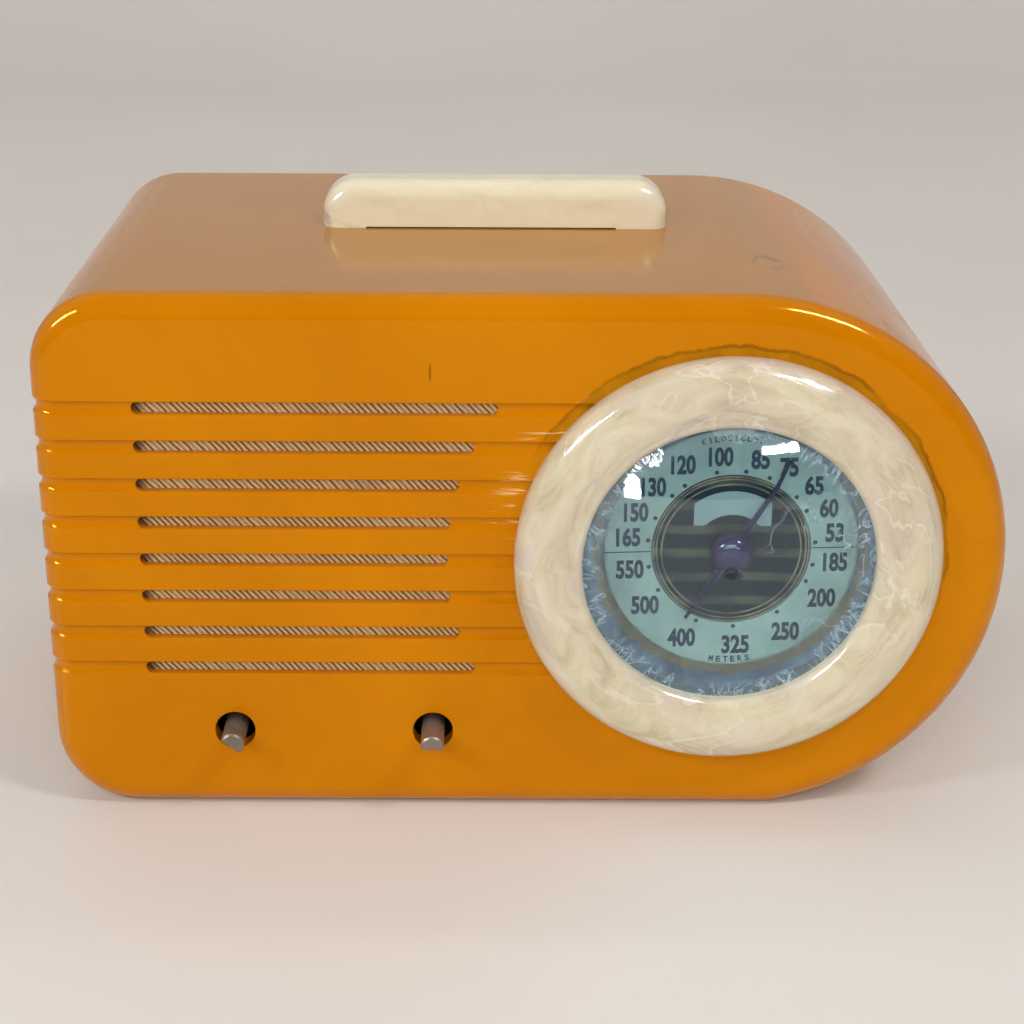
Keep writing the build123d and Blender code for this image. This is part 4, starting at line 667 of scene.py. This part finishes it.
def backdrop():
    """A floor that curves up into a wall well behind the object."""
    half, front, back, bend, high, steps = 2.5, -2.2, 1.6, 0.5, 2.4, 12
    profile = [(front, 0.0), (back - bend, 0.0)]
    for step in range(1, steps + 1):
        angle = math.pi / 2 * step / steps
        profile.append((back - bend + bend * math.sin(angle), bend - bend * math.cos(angle)))
    profile.append((back, high))
    verts = [(x, y, z) for y, z in profile for x in (-half, half)]
    faces = [(2 * i, 2 * i + 1, 2 * i + 3, 2 * i + 2) for i in range(len(profile) - 1)]
    mesh = bpy.data.meshes.new("floor")
    mesh.from_pydata(verts, [], faces)
    mesh.materials.append(floor_material())
    for polygon in mesh.polygons:
        polygon.use_smooth = True
    floor = bpy.data.objects.new("floor", mesh)
    bpy.context.scene.collection.objects.link(floor)


def area_light(name, place, aim, size, power, colour=(1, 1, 1), turn=0.0, glint=False, only=None):
    """A rectangular light. A glint shows in reflections only, and any other light never does.

    If only is given, the light reaches that one piece and nothing else.
    """
    data = bpy.data.lights.new(name, "AREA")
    data.shape = "RECTANGLE"
    data.size, data.size_y = size
    data.energy = power
    data.color = colour
    light = bpy.data.objects.new(name, data)
    light.location = place
    light.visible_glossy = glint
    light.visible_diffuse = not glint
    facing = (Vector(aim) - Vector(place)).to_track_quat("-Z", "Y")
    light.rotation_euler = (facing @ Quaternion((0, 0, 1), turn)).to_euler()
    bpy.context.scene.collection.objects.link(light)
    if only:
        lit = bpy.data.collections.new(name + "_lights")
        lit.objects.link(only)
        light.light_linking.receiver_collection = lit


def soft_world():
    """A dim room that brightens steadily from in front of the object to behind it."""
    world = bpy.data.worlds.new("world")
    world.use_nodes = True
    tree = world.node_tree
    place = tree.nodes.new("ShaderNodeTexCoord")
    parts = tree.nodes.new("ShaderNodeSeparateXYZ")
    lift = tree.nodes.new("ShaderNodeMapRange")
    tree.links.new(place.outputs["Generated"], parts.inputs[0])
    tree.links.new(parts.outputs[1], lift.inputs[0])
    front_end, back_end, front_strength, back_strength = -0.8, 0.6, 0.08, 0.60
    for socket, value in zip(lift.inputs[1:], (front_end, back_end, front_strength, back_strength)):
        socket.default_value = value
    background = tree.nodes["Background"]
    background.inputs[0].default_value = (1.0, 0.98, 0.96, 1)
    tree.links.new(lift.outputs[0], background.inputs[1])
    bpy.context.scene.world = world


backdrop()
soft_world()
warm = (1.0, 0.97, 0.93)
area_light("front_softbox", (-0.2, -1.60, 0.90), (0, 0, 0.05), (1.4, 0.8), 19, warm)
area_light("wall_wash", (0.0, 0.6, 1.6), (0, 1.6, 0.7), (2.0, 0.4), 9, warm)
area_light("left_key", (-0.95, -0.80, 0.90), (0, 0, 0.08), (0.22, 0.18), 4.4, (0.97, 0.98, 1.0))
area_light("right_key", (0.66, -0.55, 1.10), (0.03, 0, 0.1), (0.22, 0.18), 4.4, warm)
slanted = math.radians(45)
area_light("left_glint", (-1.10, -0.61, 0.84), (0, 0, 0.08), (0.60, 0.06), 15, turn=slanted, glint=True)
area_light("right_glint", (0.68, -0.35, 1.15), (0.03, 0, 0.1), (0.46, 0.07), 15, turn=-slanted, glint=True)
glass_lamps = [
    ((-0.312, -1.034, 0.064), (0.08, 0.06), 0.8), ((-0.285, -1.034, 0.145), (0.035, 0.08), 0.5),
    ((-0.173, -1.034, 0.221), (0.04, 0.07), 0.5), ((0.390, -0.994, 0.285), (0.17, 0.04), 1.2),
]
for number, (place, size, power) in enumerate(glass_lamps):
    area_light(f"glass_lamp_{number}", place, lens_centre, size, power, glint=True, only=nodes["dial_lens"])
bpy.context.scene.view_settings.view_transform = "Standard"

camera_place = Vector((-0.01317, -0.56586, 0.28602))
yaw, pitch, roll = 0.0045, 0.3729, 0.0060
sensor_mm, focal_px, principal_x, principal_y, image_px = 36, 2010.27, 485.08, 502.82, 1024
forward = Vector((math.sin(yaw) * math.cos(pitch), math.cos(yaw) * math.cos(pitch), -math.sin(pitch)))
level = Vector((math.cos(yaw), -math.sin(yaw), 0))
upward = level.cross(forward)
right = level * math.cos(roll) + upward * math.sin(roll)
above = upward * math.cos(roll) - level * math.sin(roll)
camera_data = bpy.data.cameras.new("camera")
camera_data.sensor_width = sensor_mm
camera_data.lens = sensor_mm * focal_px / image_px
camera_data.shift_x = (image_px / 2 - principal_x) / image_px
camera_data.shift_y = (principal_y - image_px / 2) / image_px
camera_data.clip_start = 0.01
camera = bpy.data.objects.new("camera", camera_data)
camera.matrix_world = Matrix.Translation(camera_place) @ Matrix((right, above, -forward)).transposed().to_4x4()
bpy.context.scene.collection.objects.link(camera)
bpy.context.scene.camera = camera
